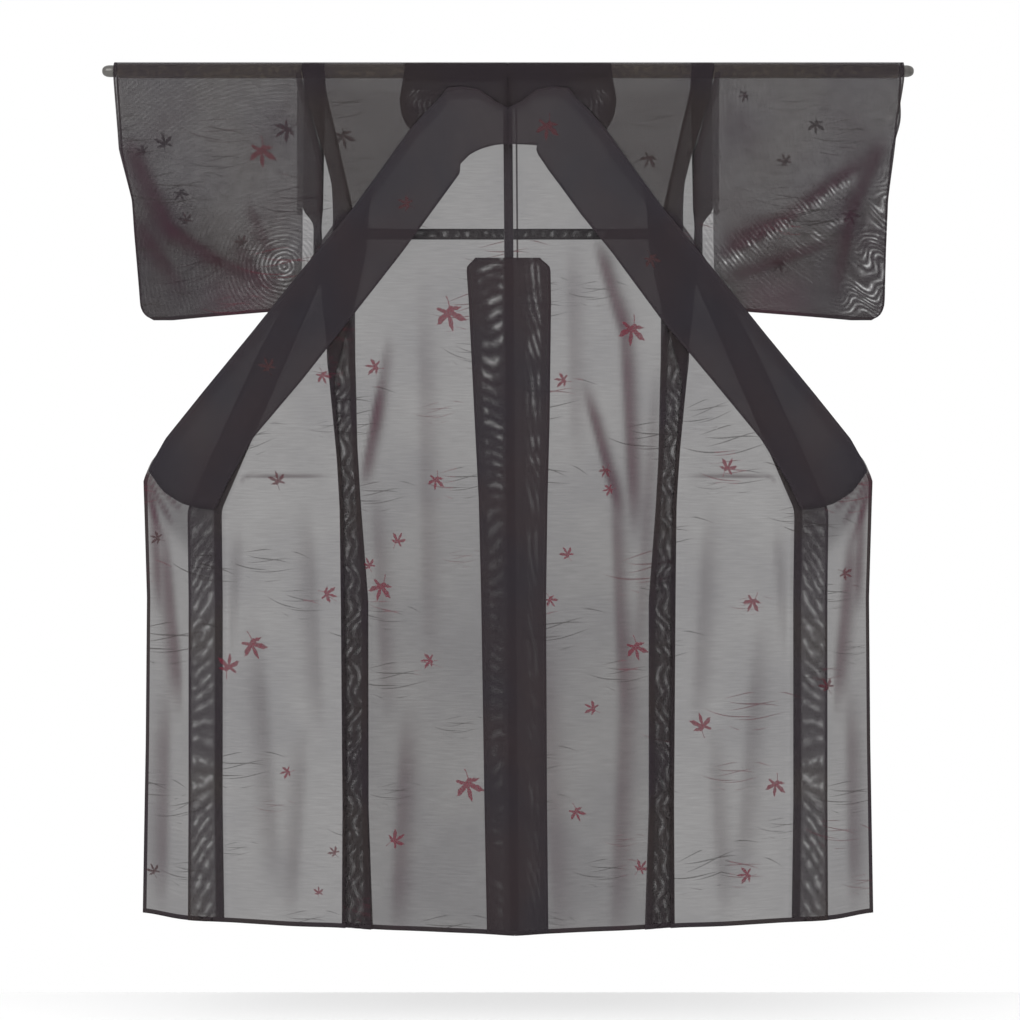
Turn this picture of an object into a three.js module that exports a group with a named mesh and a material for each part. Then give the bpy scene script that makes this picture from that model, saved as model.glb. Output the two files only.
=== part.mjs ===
// A sheer summer kimono hung open on a rod, seen from its front.
// Millimetres, +Z up. The viewer looks along +Y, so the inside of the back faces -Y.
// The origin is the middle of the rod. Every table gives d, the distance from the middle
// plane, and z, the height, so one table serves both sides. "left" is the wearer's left, at +X.
import * as THREE from 'three';

// Driving sizes
const ROD = { radius: 12.3, length: 1424, capLength: 28, capRadius: 10.4, sides: 32 };
const CLOTH = 1.2;              // thickness of one layer of cloth, drawn thicker than gauze is
const BAND_CLOTH = 2.4;         // the collar is folded double
const SEAM_GAP = 0.35;          // between pieces that are sewn together
const BAND_GAP = 1.2;           // between the collar band and what it lies on
const LAYER = 1.7;              // from one layer to the next where cloth lies on cloth
const ROD_CLEARANCE = 0.6;      // the cloth goes over the rod in short straight steps
const ROD_STEPS = 8;
const LINING_RADIUS = ROD.radius + ROD_CLEARANCE + CLOTH / 2;
const BODY_RADIUS = LINING_RADIUS + LAYER;
const FALL = -1500;             // nominal height of the hem, which the hem table bends
const HEM_STARTS = -770;        // below this height the rows bend towards the hem
const SIDE_SEAM_TOP = -383;
const PANEL_HALF = 320;
const BACK_CELLS = 8;
const TURN = { reach: 1.6, bulge: 0.85, du: 0.005 };
const CELL = 62;                // widest cell across the front
const HANG = 4.9;               // how far the back leans forward from the rod to the hem
const BOW = { depth: 7.6, most: 1.2 };
const BILLOW = { height: 5, starts: 30, full: 110, ends: [130, 200] };

// Tables, a row for each section, worked out with their columns by name
const table = (columns, rows) => rows.map((row) => Object.fromEntries(row.map((v, i) => [columns[i], v])));

const HEM = table(['d', 'z'], [
  [0, -1520], [46, -1516], [240, -1507], [291, -1502], [372, -1500], [497, -1492], [563, -1490], [645, -1474],
]);
const NECK = table(['d', 'z', 'u'], [
  [0, -70, 0], [21, -60, 0.06], [50, -39, 0.14], [84, -33, 0.22],
]);
const NECK_CORNER = { d: 105, z: -35 };

// The back panel: its edge at the armhole and side seam, and the inner edge of its seam allowance
const BACK = table(['z', 'side', 'allowance'], [
  [0, 360, 321], [-244, 360, 325], [-265, 341, 328], [-325, 341, 325], [-383, 328, 290],
  [-472, 319, 270], [-612, 305, 268], [-753, 295, 260], [-928, 293, 247], [-1290, 290, 247], [-1500, 291, 240],
]);

// The front panel. Its upper part is turned over outwards like a lapel along a fold that starts at
// the neck and ends at the foot of the armhole; below it a small fold lies over the side seam.
// "seam" is the collar seam down to the point of the okumi and the okumi seam below it, "lap" the
// allowance past that seam, "y" the plane of the side edge and "lapelY" the plane of the turned part.
const FRONT = table(['z', 'allowance', 'side', 'fold', 'seam', 'lap', 'y', 'lapelY'], [
  [-12, 323, 360, 105, 105, 0, -14.9, -14.9],
  [-35, 318, 355, 105, 105, 0, -15, -15],
  [-60, 313, 348, 131, 131, 0, -15, -15],
  [-105, 302, 335, 172, 172, 0, -14.5, -14.5],
  [-147, 293, 321, 202, 202, 0, -12.5, -12.5],
  [-200, 281, 308, 235, 240.5, 0, -9, -13],
  [-246, 271, 306, 244, 274, 14, -7.5, -12.6],
  [-300, 269, 307, 246, 297, 30, -4.5, -10.6],
  [-383, 269, 320, 262, 334, 44, 0.5, -6.6],
  [-510, 268, 317, 298, 389, 56, 0.4, -4.9],
  [-545, 267, 313, 306, 404, 57, 0.5, -4.4],
  [-680, 264, 300, 294, 463, 60, 0.9, -3],
  [-770, 259, 295, 289.5, 502, 60, 0.9, -2.6],
  [-928, 247, 293, 287.5, 500, 60, 0.4, -3],
  [-1290, 247, 290, 284.5, 500, 60, -0.6, -4],
  [-1500, 240, 291, 285.5, 497, 64, -1.3, -4.7],
]);
const LAPEL_TOP = -200;
const OKUMI_POINT = -246;
const OKUMI_TOP = -262;
const OKUMI_EDGE = table(['z', 'd'], [
  [-246, 274], [-355, 361], [-423, 416], [-472, 455], [-665, 611], [-686, 627], [-718, 640],
  [-928, 634], [-1192, 636], [-1500, 641],
]);

// The collar band: each row joins a point of its sewn edge to one of its free edge
const COLLAR = table(['sewnD', 'sewnZ', 'freeD', 'freeZ'], [
  [0, -70, 0, -130], [21, -60, 22, -132], [50, -39, 45, -138], [84, -33, 67, -149], [105, -35, 82, -166],
  [140, -70, 85, -176], [174, -108, 92, -190], [220, -172, 131, -246], [274, -246, 184, -318],
  [365, -355, 275, -434], [451, -462, 361, -543], [535, -564, 445, -642], [600, -645, 497, -727],
]);
const COLLAR_END = table(['d', 'z'], [[631, -700], [604, -738], [571, -759], [541, -767], [514, -770]]);

// The sleeves: cuff edge of each sleeve, inner edge of each wall, and the lower edge
const CUFF = table(['z', 'right', 'left'], [
  [14, 690, 693], [-16, 690, 693], [-139, 681, 677], [-226, 660, 667], [-314, 653, 663], [-400, 646, 661],
  [-426, 643, 658], [-437, 633, 650],
]);
const SLEEVE_INNER = table(['z', 'front', 'back'], [
  [-12, 362, 363], [-86, 344, 363], [-147, 328, 363], [-230, 326, 363], [-300, 330, 363],
  [-345, 338, 364], [-372, 356, 364], [-437, 364, 367],
]);
const ARMHOLE_GAP = 2.6;        // from the folded edge of the front panel to the sleeve
const SLEEVE_FOOT = { inner: -418, outer: -437, gap: 2.4 };
const CUFF_OPENING = 0.53;      // share of the drop that is open as the cuff
// Drag folds of the sleeves: ridges between two points of the wall
const SLEEVE_FOLDS = {
  right: table(['d1', 'z1', 'd2', 'z2', 'height', 'width'], [
    [628, -209, 488, -402, 6, 26], [655, -300, 560, -425, 4, 22], [420, -60, 400, -330, 3, 24],
  ]),
  left: table(['d1', 'z1', 'd2', 'z2', 'height', 'width'], [
    [610, -165, 400, -350, 7, 26], [640, -260, 470, -405, 5, 24], [560, -120, 400, -240, 3, 24],
  ]),
};

// Soft folds of the back: their place from the middle at two heights, in X
const BACK_FOLDS = table(['x1', 'z1', 'x2', 'z2', 'height', 'width'], [
  [176, -310, 221, -760, 6, 30], [150, -580, 195, -1080, 6, 30], [-200, -460, -212, -780, 4, 26],
  [120, -330, 112, -900, 4, 30], [-150, -420, -140, -1000, 4, 32], [210, -1000, 190, -1480, 4, 32],
]);

// Pieces that lie on the inside of the back
const BINDING = { right: -9, left: 7, drift: 12, top: -16 };
const ABOVE_HEM = 2;             // the seat lining and the binding end a little above the hem
const SEAT = table(['z', 'right', 'left'], [
  [-326, -57, 54], [-342, -74, 74], [-402, -70, 75], [-612, -60, 72], [-753, -53, 68], [-928, -49, 65],
  [-1279, -44, 66], [-1500, -40, 68],
]);
const TUCK = { top: -275, depth: 19, outer: { right: 295, left: 276 } };
const LINING = { back: -16, top: 181, inset: 2, lobeRows: [-55, -75, -90, -100] };
const LINING_LOBE = table(['z', 'd'], [
  [-12, 181], [-35, 187], [-53, 190], [-80, 186], [-98, 177], [-104, 172],
]);

// Materials
const gauze = new THREE.MeshStandardMaterial({ color: 0x2b2428, roughness: 0.85, metalness: 0 });
const lacquer = new THREE.MeshStandardMaterial({ color: 0x1f1917, roughness: 0.35, metalness: 0 });
const silver = new THREE.MeshStandardMaterial({ color: 0xb9b9bd, roughness: 0.3, metalness: 1 });

const SIDES = [{ name: 'left', sign: 1 }, { name: 'right', sign: -1 }];
const lerp = THREE.MathUtils.lerp;
const clamp = THREE.MathUtils.clamp;
const smooth = THREE.MathUtils.smoothstep;

// The value of a column at a place along a table, straight between its rows
function read(rows, key, place, column) {
  const rising = rows[rows.length - 1][key] > rows[0][key];
  const after = rows.findIndex((row) => (rising ? row[key] >= place : row[key] <= place));
  if (after === 0) return rows[0][column];
  if (after < 0) return rows[rows.length - 1][column];
  const a = rows[after - 1];
  const b = rows[after];
  return lerp(a[column], b[column], (place - a[key]) / (b[key] - a[key]));
}

// Rows below the thigh stretch so that the last one lies on the hem line
function bent(z, d) {
  if (z > HEM_STARTS) return z;
  const hem = read(HEM, 'd', Math.min(d, 645), 'z');
  return HEM_STARTS + (z - HEM_STARTS) * (hem - HEM_STARTS) / (FALL - HEM_STARTS);
}

// Height of a ridge at (a, z): it runs from (a1, z1) to (a2, z2) and fades at both ends
function ridge(fold, a1, a2, a, z) {
  const along = (fold.z1 - z) / (fold.z1 - fold.z2);
  if (along < -0.2 || along > 1.2) return 0;
  const across = (a - lerp(a1, a2, along)) / fold.width;
  const fade = smooth(along, -0.2, 0.25) * (1 - smooth(along, 0.75, 1.2));
  return fold.height * fade * Math.exp(-across * across);
}

const drift = (z) => BINDING.drift * clamp(z / FALL, 0, 1);
const steps = (from, to, count) => Array.from({ length: count + 1 }, (_, i) => lerp(from, to, i / count));

// Heights of the rows of the body panel
const BACK_ROWS = [
  ...steps(-12, -200, 3), -244, -265, TUCK.top, TUCK.top - TUCK.depth, -325, -350, SIDE_SEAM_TOP,
  ...steps(-430, -760, 5), ...steps(-850, FALL, 6),
];
const FRONT_ROWS = [
  ...steps(-60, -147, 3), -172, ...steps(LAPEL_TOP, OKUMI_POINT, 2), -273, -300, -340, SIDE_SEAM_TOP,
  ...steps(-425, -545, 3), ...steps(-590, -680, 2), -725, HEM_STARTS, ...steps(-870, FALL, 5),
];

// The back panel's middle surface at X = x: it hangs from the rod and bows forward to its sides
function backY(x, z) {
  const hang = BODY_RADIUS - HANG * clamp(z / FALL, 0, 1);
  const bow = BOW.depth * smooth(-z, 12, -SIDE_SEAM_TOP) * Math.min(BOW.most, (x / PANEL_HALF) ** 2);
  const folds = BACK_FOLDS.reduce((sum, fold) => sum + ridge(fold, fold.x1, fold.x2, x, z), 0);
  return hang - bow - folds;
}

const backX = (sign, d, z) => sign * (d + SEAM_GAP / 2) + drift(z) * clamp(1 - d / PANEL_HALF, 0, 1);

function backPoint(sign, d, z, lift = 0) {
  const x = backX(sign, d, z);
  return new THREE.Vector3(x, backY(x, z) - lift, bent(z, d));
}

// The columns of the back panel: the neck part, then even steps to the side edge
function backColumns(z) {
  const side = read(BACK, 'z', z, 'side');
  const neck = [0, 0.1, 0.2].map((u) => ({ u, d: NECK_CORNER.d * u / 0.3 }));
  const rest = steps(0, 1, BACK_CELLS).map((t) => ({ u: 0.3 + 0.6 * t, d: lerp(NECK_CORNER.d, side, t) }));
  return [...neck, ...rest];
}

// Y of the flat facets of the back panel, for what lies on them
function onFacets(x, z) {
  const alongRow = (height) => {
    const sign = x < drift(height) ? -1 : 1;
    const nodes = backColumns(height).map(({ d }) => backX(sign, d, height)).sort((a, b) => a - b);
    const after = clamp(nodes.findIndex((node) => node >= x), 1, nodes.length - 1);
    const t = clamp((x - nodes[after - 1]) / (nodes[after] - nodes[after - 1]), 0, 1);
    return lerp(backY(nodes[after - 1], height), backY(nodes[after], height), t);
  };
  const below = BACK_ROWS.findIndex((height) => height <= z);
  if (below <= 0) return alongRow(z);
  const t = (BACK_ROWS[below - 1] - z) / (BACK_ROWS[below - 1] - BACK_ROWS[below]);
  return lerp(alongRow(BACK_ROWS[below - 1]), alongRow(BACK_ROWS[below]), t);
}

// Three points that turn a path back, at its knot, from the plane it comes on to the one it goes on
function turn({ u, d }, direction, yBefore, yAfter) {
  return [
    { u: u - TURN.du, d: d - TURN.reach * direction, y: yBefore },
    { u, d: d + TURN.bulge * direction, y: (yBefore + yAfter) / 2 },
    { u: u + TURN.du, d: d - TURN.reach * direction, y: yAfter },
  ];
}

// One section of the front: knots along the path, each with its u, joined by layers at given planes
function section(knots, planes) {
  const points = [{ ...knots[0], y: planes[0] }];
  for (let i = 1; i < knots.length; i++) {
    const from = points[points.length - 1];
    const end = i === knots.length - 1;
    const corner = end ? [{ ...knots[i], y: planes[i - 1] }]
      : turn(knots[i], Math.sign(knots[i].d - knots[i - 1].d), planes[i - 1], planes[i]);
    const cells = Math.ceil(Math.abs(corner[0].d - from.d) / CELL);
    for (const t of steps(0, 1, cells).slice(1, -1)) {
      points.push({ u: lerp(from.u, corner[0].u, t), d: lerp(from.d, corner[0].d, t), y: planes[i - 1] });
    }
    points.push(...corner);
  }
  return points;
}

// A row of the back panel at height z: middle seam, neck part, armhole or side edge, allowance
function backRow(sign, z) {
  const columns = backColumns(z);
  const edge = columns.pop();
  const fold = [...turn(edge, 1, 0, LAYER), { u: 1, d: read(BACK, 'z', z, 'allowance'), y: LAYER }];
  return [
    ...columns.map(({ u, d }) => ({ u, p: backPoint(sign, d, z) })),
    ...fold.map(({ u, d, y }) => ({ u, p: backPoint(sign, d, z, y) })),
  ];
}

// The same row on the top of the rod, at an angle that goes from its back to its front
function rodRow(sign, angle) {
  return backRow(sign, 0).map(({ u, p }) => {
    const radius = p.y;
    return { u, p: new THREE.Vector3(p.x, radius * Math.cos(angle), radius * Math.sin(angle)) };
  });
}

// Soft billow of the front between armhole and collar, where it hangs with some slack
function billow(z, u) {
  const along = smooth(-z, BILLOW.starts, BILLOW.full) * (1 - smooth(-z, ...BILLOW.ends));
  return BILLOW.height * along * Math.sin(Math.PI * clamp((u - 0.3) / 0.6, 0, 1)) ** 2;
}

// A row of the front panel: okumi seam with its allowance, fold of the lapel, side edge, allowance
function frontRow(sign, z) {
  const at = (column) => read(FRONT, 'z', z, column);
  const knots = [{ u: 0.3, d: at('fold') }, { u: 0.9, d: at('side') }, { u: 1, d: at('allowance') }];
  const planes = [at('y'), at('y') + LAYER];
  if (z <= LAPEL_TOP) {
    knots.unshift({ u: 0.1, d: at('seam') });
    planes.unshift(at('lapelY'));
  }
  const row = section(knots, planes);
  if (z <= OKUMI_POINT) row.unshift({ u: 0, d: at('seam') + at('lap'), y: at('lapelY') });
  return row.map(({ u, d, y }) => ({ u, p: new THREE.Vector3(sign * d, y - billow(z, u), bent(z, d)) }));
}

// The last row that crosses the neck: its middle part is the neck seam
function neckRow(sign) {
  const y = read(FRONT, 'z', NECK_CORNER.z, 'y');
  const seam = NECK.map(({ d, z, u }) => ({ u, p: new THREE.Vector3(sign * (d + SEAM_GAP / 2), y, z) }));
  return [...seam, ...frontRow(sign, NECK_CORNER.z)];
}

// Triangles between two rows that may have different points and may start or end elsewhere
function zip(rowA, rowB, add) {
  const same = 1e-6;
  const low = Math.max(rowA[0].u, rowB[0].u) - same;
  const high = Math.min(rowA[rowA.length - 1].u, rowB[rowB.length - 1].u) + same;
  const a = rowA.filter(({ u }) => u >= low && u <= high);
  const b = rowB.filter(({ u }) => u >= low && u <= high);
  let i = 0;
  let j = 0;
  while (i < a.length - 1 || j < b.length - 1) {
    const stepA = j === b.length - 1 || (i < a.length - 1 && a[i + 1].u <= b[j + 1].u + same);
    if (stepA) {
      add(a[i].p, b[j].p, a[i + 1].p);
      i += 1;
    } else {
      add(a[i].p, b[j].p, b[j + 1].p);
      j += 1;
    }
  }
}

// A closed wall of cloth: both faces lie half the thickness off the middle surface
function clothWall(name, strips, thickness, material) {
  const index = new Map();
  const points = [];
  const triangles = [];
  const vertex = (p) => {
    const key = [p.x, p.y, p.z].map((v) => v.toFixed(3)).join();
    if (!index.has(key)) {
      index.set(key, points.length);
      points.push(p);
    }
    return index.get(key);
  };
  const add = (...corners) => {
    const ids = corners.map(vertex);
    if (new Set(ids).size === 3) triangles.push(ids);
  };
  for (const rows of strips) {
    for (let i = 0; i < rows.length - 1; i++) zip(rows[i], rows[i + 1], add);
  }
  const normals = points.map(() => new THREE.Vector3());
  for (const ids of triangles) {
    const corners = ids.map((id) => points[id]);
    const face = new THREE.Triangle(...corners).getNormal(new THREE.Vector3());
    ids.forEach((id, i) => {
      const toNext = corners[(i + 1) % 3].clone().sub(corners[i]);
      const toLast = corners[(i + 2) % 3].clone().sub(corners[i]);
      normals[id].addScaledVector(face, toNext.angleTo(toLast));
    });
  }
  normals.forEach((normal) => normal.normalize());
  const offset = (side) => points.map((p, i) => p.clone().addScaledVector(normals[i], side));
  const positions = [...offset(thickness / 2), ...offset(-thickness / 2)];
  const count = points.length;
  const edges = new Set(triangles.flatMap(([a, b, c]) => [`${a},${b}`, `${b},${c}`, `${c},${a}`]));
  const faces = triangles.flatMap(([a, b, c]) => [a, b, c, c + count, b + count, a + count]);
  for (const edge of edges) {
    const [a, b] = edge.split(',').map(Number);
    if (!edges.has(`${b},${a}`)) faces.push(b, a, a + count, b, a + count, b + count);
  }
  const geometry = new THREE.BufferGeometry();
  geometry.setAttribute('position', new THREE.Float32BufferAttribute(positions.flatMap((p) => p.toArray()), 3));
  geometry.setIndex(faces);
  geometry.computeVertexNormals();
  const mesh = new THREE.Mesh(geometry, material);
  mesh.name = name;
  return mesh;
}

// Rows run in the direction that makes the wall's first face look outwards on either side
const handed = (sign, rows) => (sign > 0 ? rows : [...rows].reverse());

// Body panels, each one length of cloth from the back hem over the rod to the front hem
function body({ name, sign }) {
  const rows = [
    ...[...BACK_ROWS].reverse().map((z) => backRow(sign, z)),
    ...steps(0, Math.PI, ROD_STEPS).map((angle) => rodRow(sign, angle)),
    neckRow(sign),
    ...FRONT_ROWS.map((z) => frontRow(sign, z)),
  ];
  return clothWall(`body_${name}`, [handed(sign, rows)], CLOTH, gauze);
}

// The okumi, the long narrow front piece between the front panel and the collar
function okumi({ name, sign }) {
  const rows = [OKUMI_TOP, ...FRONT_ROWS.filter((z) => z < OKUMI_TOP)].map((z) => {
    const from = read(FRONT, 'z', z, 'seam') + SEAM_GAP;
    const to = read(OKUMI_EDGE, 'z', z, 'd') - SEAM_GAP;
    return steps(0, 1, 4).map((u) => {
      const d = lerp(from, to, u);
      return { u, p: new THREE.Vector3(sign * d, read(FRONT, 'z', z, 'lapelY') + LAYER, bent(z, d)) };
    });
  });
  return clothWall(`okumi_${name}`, [handed(sign, rows)], CLOTH, gauze);
}

// The collar band lies in front of the front panel and the okumi, and meets its other half behind the neck
function collar({ name, sign }) {
  const lift = (CLOTH + BAND_CLOTH) / 2 + BAND_GAP;
  const point = (d, z) => new THREE.Vector3(
    sign * (d + SEAM_GAP / 2), read(FRONT, 'z', Math.min(z, -12), 'lapelY') - lift, z);
  const across = steps(0, 1, COLLAR_END.length - 1);
  const rows = COLLAR.flatMap((row, i) => {
    const next = COLLAR[i + 1];
    const parts = next && i > 5 ? [0, 0.5] : [0];
    return parts.map((t) => across.map((u) => {
      const d = lerp(row.sewnD, row.freeD, u);
      const z = lerp(row.sewnZ, row.freeZ, u);
      const nextD = t && lerp(next.sewnD, next.freeD, u);
      const nextZ = t && lerp(next.sewnZ, next.freeZ, u);
      return { u, p: t ? point(lerp(d, nextD, t), lerp(z, nextZ, t)) : point(d, z) };
    }));
  });
  rows.push(COLLAR_END.map(({ d, z }, i) => ({ u: across[i], p: point(d, z) })));
  return clothWall(`collar_${name}`, [handed(-sign, rows)], BAND_CLOTH, gauze);
}

// A sleeve: one sheet folded over the rod, its walls sewn at the foot and below the cuff opening
function sleeve({ name, sign }) {
  const wallY = (u, v) => {
    const closing = smooth(v, CUFF_OPENING - 0.25, CUFF_OPENING) * smooth(u, 0.55, 1);
    const half = CLOTH / 2 + SLEEVE_FOOT.gap / 2;
    return half + (BODY_RADIUS - half) * (1 - smooth(v, -0.1, 1)) / (1 - smooth(0, -0.1, 1)) * (1 - closing);
  };
  const row = (side, v) => steps(0, 1, 11).map((u) => {
    const foot = lerp(SLEEVE_FOOT.inner, SLEEVE_FOOT.outer, Math.min(1, u * 1.15));
    const z = v * foot;
    const panel = side === 'front' ? read(FRONT, 'z', z, 'side') + ARMHOLE_GAP : 0;
    const d = lerp(Math.max(panel, read(SLEEVE_INNER, 'z', z, side)), read(CUFF, 'z', z, name), u);
    const drag = SLEEVE_FOLDS[name].reduce((sum, fold) => sum + ridge(fold, fold.d1, fold.d2, d, z), 0);
    const held = smooth(v, 0, 0.25) * (1 - smooth(v, 0.72, 1)) * smooth(u, 0, 0.15);
    const y = (side === 'front' ? -1 : 1) * wallY(u, v) - drag * held;
    return { u, p: new THREE.Vector3(sign * d, y, z) };
  });
  const drop = [0.06, 0.15, 0.24, 0.33, 0.42, 0.5, 0.58, 0.66, 0.74, 0.82, 0.9, 0.955, 0.98, 1];
  const over = steps(0, Math.PI, ROD_STEPS).map((angle) => row('back', 0).map(({ u, p }) => (
    { u, p: new THREE.Vector3(p.x, BODY_RADIUS * Math.cos(angle), BODY_RADIUS * Math.sin(angle)) })));
  const rows = [
    ...[...drop].reverse().map((v) => row('back', v)), ...over, ...drop.map((v) => row('front', v)),
  ];
  return clothWall(`sleeve_${name}`, [handed(sign, rows)], CLOTH, gauze);
}

// The lining of the shoulders: over the rod, down to the neck seam, with a round lobe on each side of the neck
function shoulderLining() {
  const columns = [-1, -0.75, -0.5, -0.25, 0, 0.25, 0.5, 0.75, 1];
  const flat = (y, z) => columns.map((u) => ({ u, p: new THREE.Vector3(u * LINING.top, y, z) }));
  const over = steps(0, Math.PI, ROD_STEPS).map((angle) => (
    flat(LINING_RADIUS * Math.cos(angle), LINING_RADIUS * Math.sin(angle))));
  const y = read(FRONT, 'z', NECK_CORNER.z, 'y') + LAYER;
  const cornerU = 0.6;
  const lobe = (sign, z, inner) => [0, 0.5, 1].map((t) => {
    const d = lerp(inner, read(LINING_LOBE, 'z', z, 'd'), t);
    const depth = read(FRONT, 'z', z, 'y') + LAYER;
    return { u: sign * lerp(cornerU, 1, t), p: new THREE.Vector3(sign * d, depth, z) };
  });
  const corner = (sign) => lobe(sign, NECK_CORNER.z, NECK_CORNER.d);
  const arc = NECK.map(({ d, z, u }) => ({ u: u * cornerU / 0.3, p: new THREE.Vector3(d, y, z + 1) }));
  const mirrored = arc.slice(1).map(({ u, p }) => ({ u: -u, p: new THREE.Vector3(-p.x, p.y, p.z) })).reverse();
  const neck = [...corner(-1).reverse(), ...mirrored, ...arc, ...corner(1)];
  const lobeRow = (sign, z) => lobe(sign, z, read(FRONT, 'z', z, 'seam') - LINING.inset);
  const lobeRows = (sign) => [corner(sign), ...LINING.lobeRows.map((z) => lobeRow(sign, z))]
    .map((row) => (sign > 0 ? row : [...row].reverse()));
  const strips = [[flat(LINING_RADIUS, LINING.back), ...over, neck], lobeRows(1), lobeRows(-1)];
  return clothWall('shoulder_lining', strips, CLOTH, gauze);
}

// A strip that lies on the inside of the back between two edges given in X
function onBack(name, heights, edges, columns, lift) {
  const rows = heights.map((z) => steps(0, 1, columns).map((u) => {
    const x = lerp(edges(z)[0], edges(z)[1], u);
    return { u, p: new THREE.Vector3(x, onFacets(x, z) - lift, bent(z, Math.abs(x)) + (z <= FALL ? ABOVE_HEM : 0)) };
  }));
  return clothWall(name, [[...rows].reverse()], CLOTH, gauze);
}

function backPieces() {
  const lift = CLOTH + SEAM_GAP;
  const bindingEdge = (z, side) => BINDING[side] + drift(z);
  const seatEdge = (z, side) => read(SEAT, 'z', z, side) + drift(z) / 4;
  const tuck = ({ name, sign }) => onBack(`waist_tuck_${name}`, [TUCK.top, TUCK.top - TUCK.depth], () => {
    const inner = bindingEdge(TUCK.top, name) + sign * 2 * SEAM_GAP;
    return [inner, sign * TUCK.outer[name]].sort((a, b) => a - b);
  }, 14, lift);
  const seatHeights = [-326, -342, ...steps(-402, FALL, 13)];
  return [
    onBack('centre_seam_binding', steps(BINDING.top, FALL, 22),
      (z) => [bindingEdge(z, 'right'), bindingEdge(z, 'left')], 2, lift),
    onBack('seat_lining', seatHeights,
      (z) => [seatEdge(z, 'right'), seatEdge(z, 'left')], 8, 2 * lift),
    ...SIDES.map(tuck),
  ];
}

// The rod, with a rounded cap on each end
function rodPieces() {
  const core = ROD.length / 2 - ROD.capLength;
  const shape = new THREE.CylinderGeometry(ROD.radius, ROD.radius, 2 * core - SEAM_GAP, ROD.sides);
  const bar = new THREE.Mesh(shape, lacquer);
  bar.name = 'rod';
  bar.rotation.z = Math.PI / 2;
  const nose = ROD.capLength / 2;
  const profile = [
    new THREE.Vector2(0, 0), new THREE.Vector2(ROD.capRadius, 0), new THREE.Vector2(ROD.capRadius, nose),
    ...steps(0.2, 1, 5).map((t) => new THREE.Vector2(
      ROD.capRadius * Math.cos(t * Math.PI / 2) * (t < 1 ? 1 : 0), nose + nose * Math.sin(t * Math.PI / 2))),
  ];
  const caps = SIDES.map(({ name, sign }) => {
    const cap = new THREE.Mesh(new THREE.LatheGeometry(profile, ROD.sides), silver);
    cap.name = `rod_cap_${name}`;
    cap.rotation.z = -sign * Math.PI / 2;
    cap.position.x = sign * core;
    return cap;
  });
  return [bar, ...caps];
}

const kimono = new THREE.Group();
kimono.add(...rodPieces());
for (const side of SIDES) kimono.add(body(side), okumi(side), sleeve(side), collar(side));
kimono.add(shoulderLining(), ...backPieces());

export default kimono;
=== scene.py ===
# %% [markdown]
# # A sheer summer kimono hung open on a rod
# An unlined kimono of black gauze hangs from a round rod that goes through both sleeves. Its fronts are drawn
# out to the sides, so the single layer of the back shows in the middle. Light comes through the cloth, and
# the number of layers decides how dark each place looks. So every piece a maker would cut is its own thin
# sheet, and the dark strips along the seams come from cloth that really is folded there.
#
# Lengths are in millimetres, +Z is up, +X is the wearer's left, and the viewer looks along +Y.

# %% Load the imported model
import math

import bmesh
import bpy
import numpy as np
from mathutils import Matrix


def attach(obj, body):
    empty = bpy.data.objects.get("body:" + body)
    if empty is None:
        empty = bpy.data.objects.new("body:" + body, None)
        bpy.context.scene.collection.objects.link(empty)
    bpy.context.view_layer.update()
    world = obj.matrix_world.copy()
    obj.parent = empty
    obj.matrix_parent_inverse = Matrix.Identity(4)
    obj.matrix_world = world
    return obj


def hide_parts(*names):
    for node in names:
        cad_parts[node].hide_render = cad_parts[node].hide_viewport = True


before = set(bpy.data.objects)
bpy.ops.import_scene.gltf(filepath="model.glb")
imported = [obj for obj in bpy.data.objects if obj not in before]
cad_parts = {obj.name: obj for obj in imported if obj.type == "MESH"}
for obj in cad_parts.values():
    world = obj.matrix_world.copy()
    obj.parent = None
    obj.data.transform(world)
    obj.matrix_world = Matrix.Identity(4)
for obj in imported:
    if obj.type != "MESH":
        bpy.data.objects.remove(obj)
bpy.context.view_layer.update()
MM = 0.001

# %% [markdown]
# ## Small tables of sizes
# A garment is mostly edges: where a seam, a fold or a hem lies at each height. Each edge is a short table
# with named columns. A value between two rows is read straight between them, then averaged over a short
# stretch, which rounds the corners a little, as cloth does. `d` is the distance from the middle plane.

# %% Tables and how they are read
def table(names, rows):
    """One array for each named column."""
    return dict(zip(names.split(), np.array(rows, float).T))


def read(rows, place, column, soft=0.0):
    """The column at a place along the first one: the mean of five straight readings within +-soft of it."""
    keys = next(iter(rows.values()))
    order = np.argsort(keys, kind="stable")
    keys, values = keys[order], rows[column][order]
    place = np.asarray(place, float)
    return np.mean([np.interp(place + soft * k, keys, values) for k in (-1, -0.5, 0, 0.5, 1)], axis=0)


def smooth(x, low, high):
    """0 below low, 1 above high, and 3t^2 - 2t^3 between them."""
    t = np.clip((np.asarray(x, float) - low) / (high - low), 0, 1)
    return t * t * (3 - 2 * t)


def mix(a, b, t):
    """The value a share t of the way from a to b."""
    return a + (b - a) * t

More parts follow.
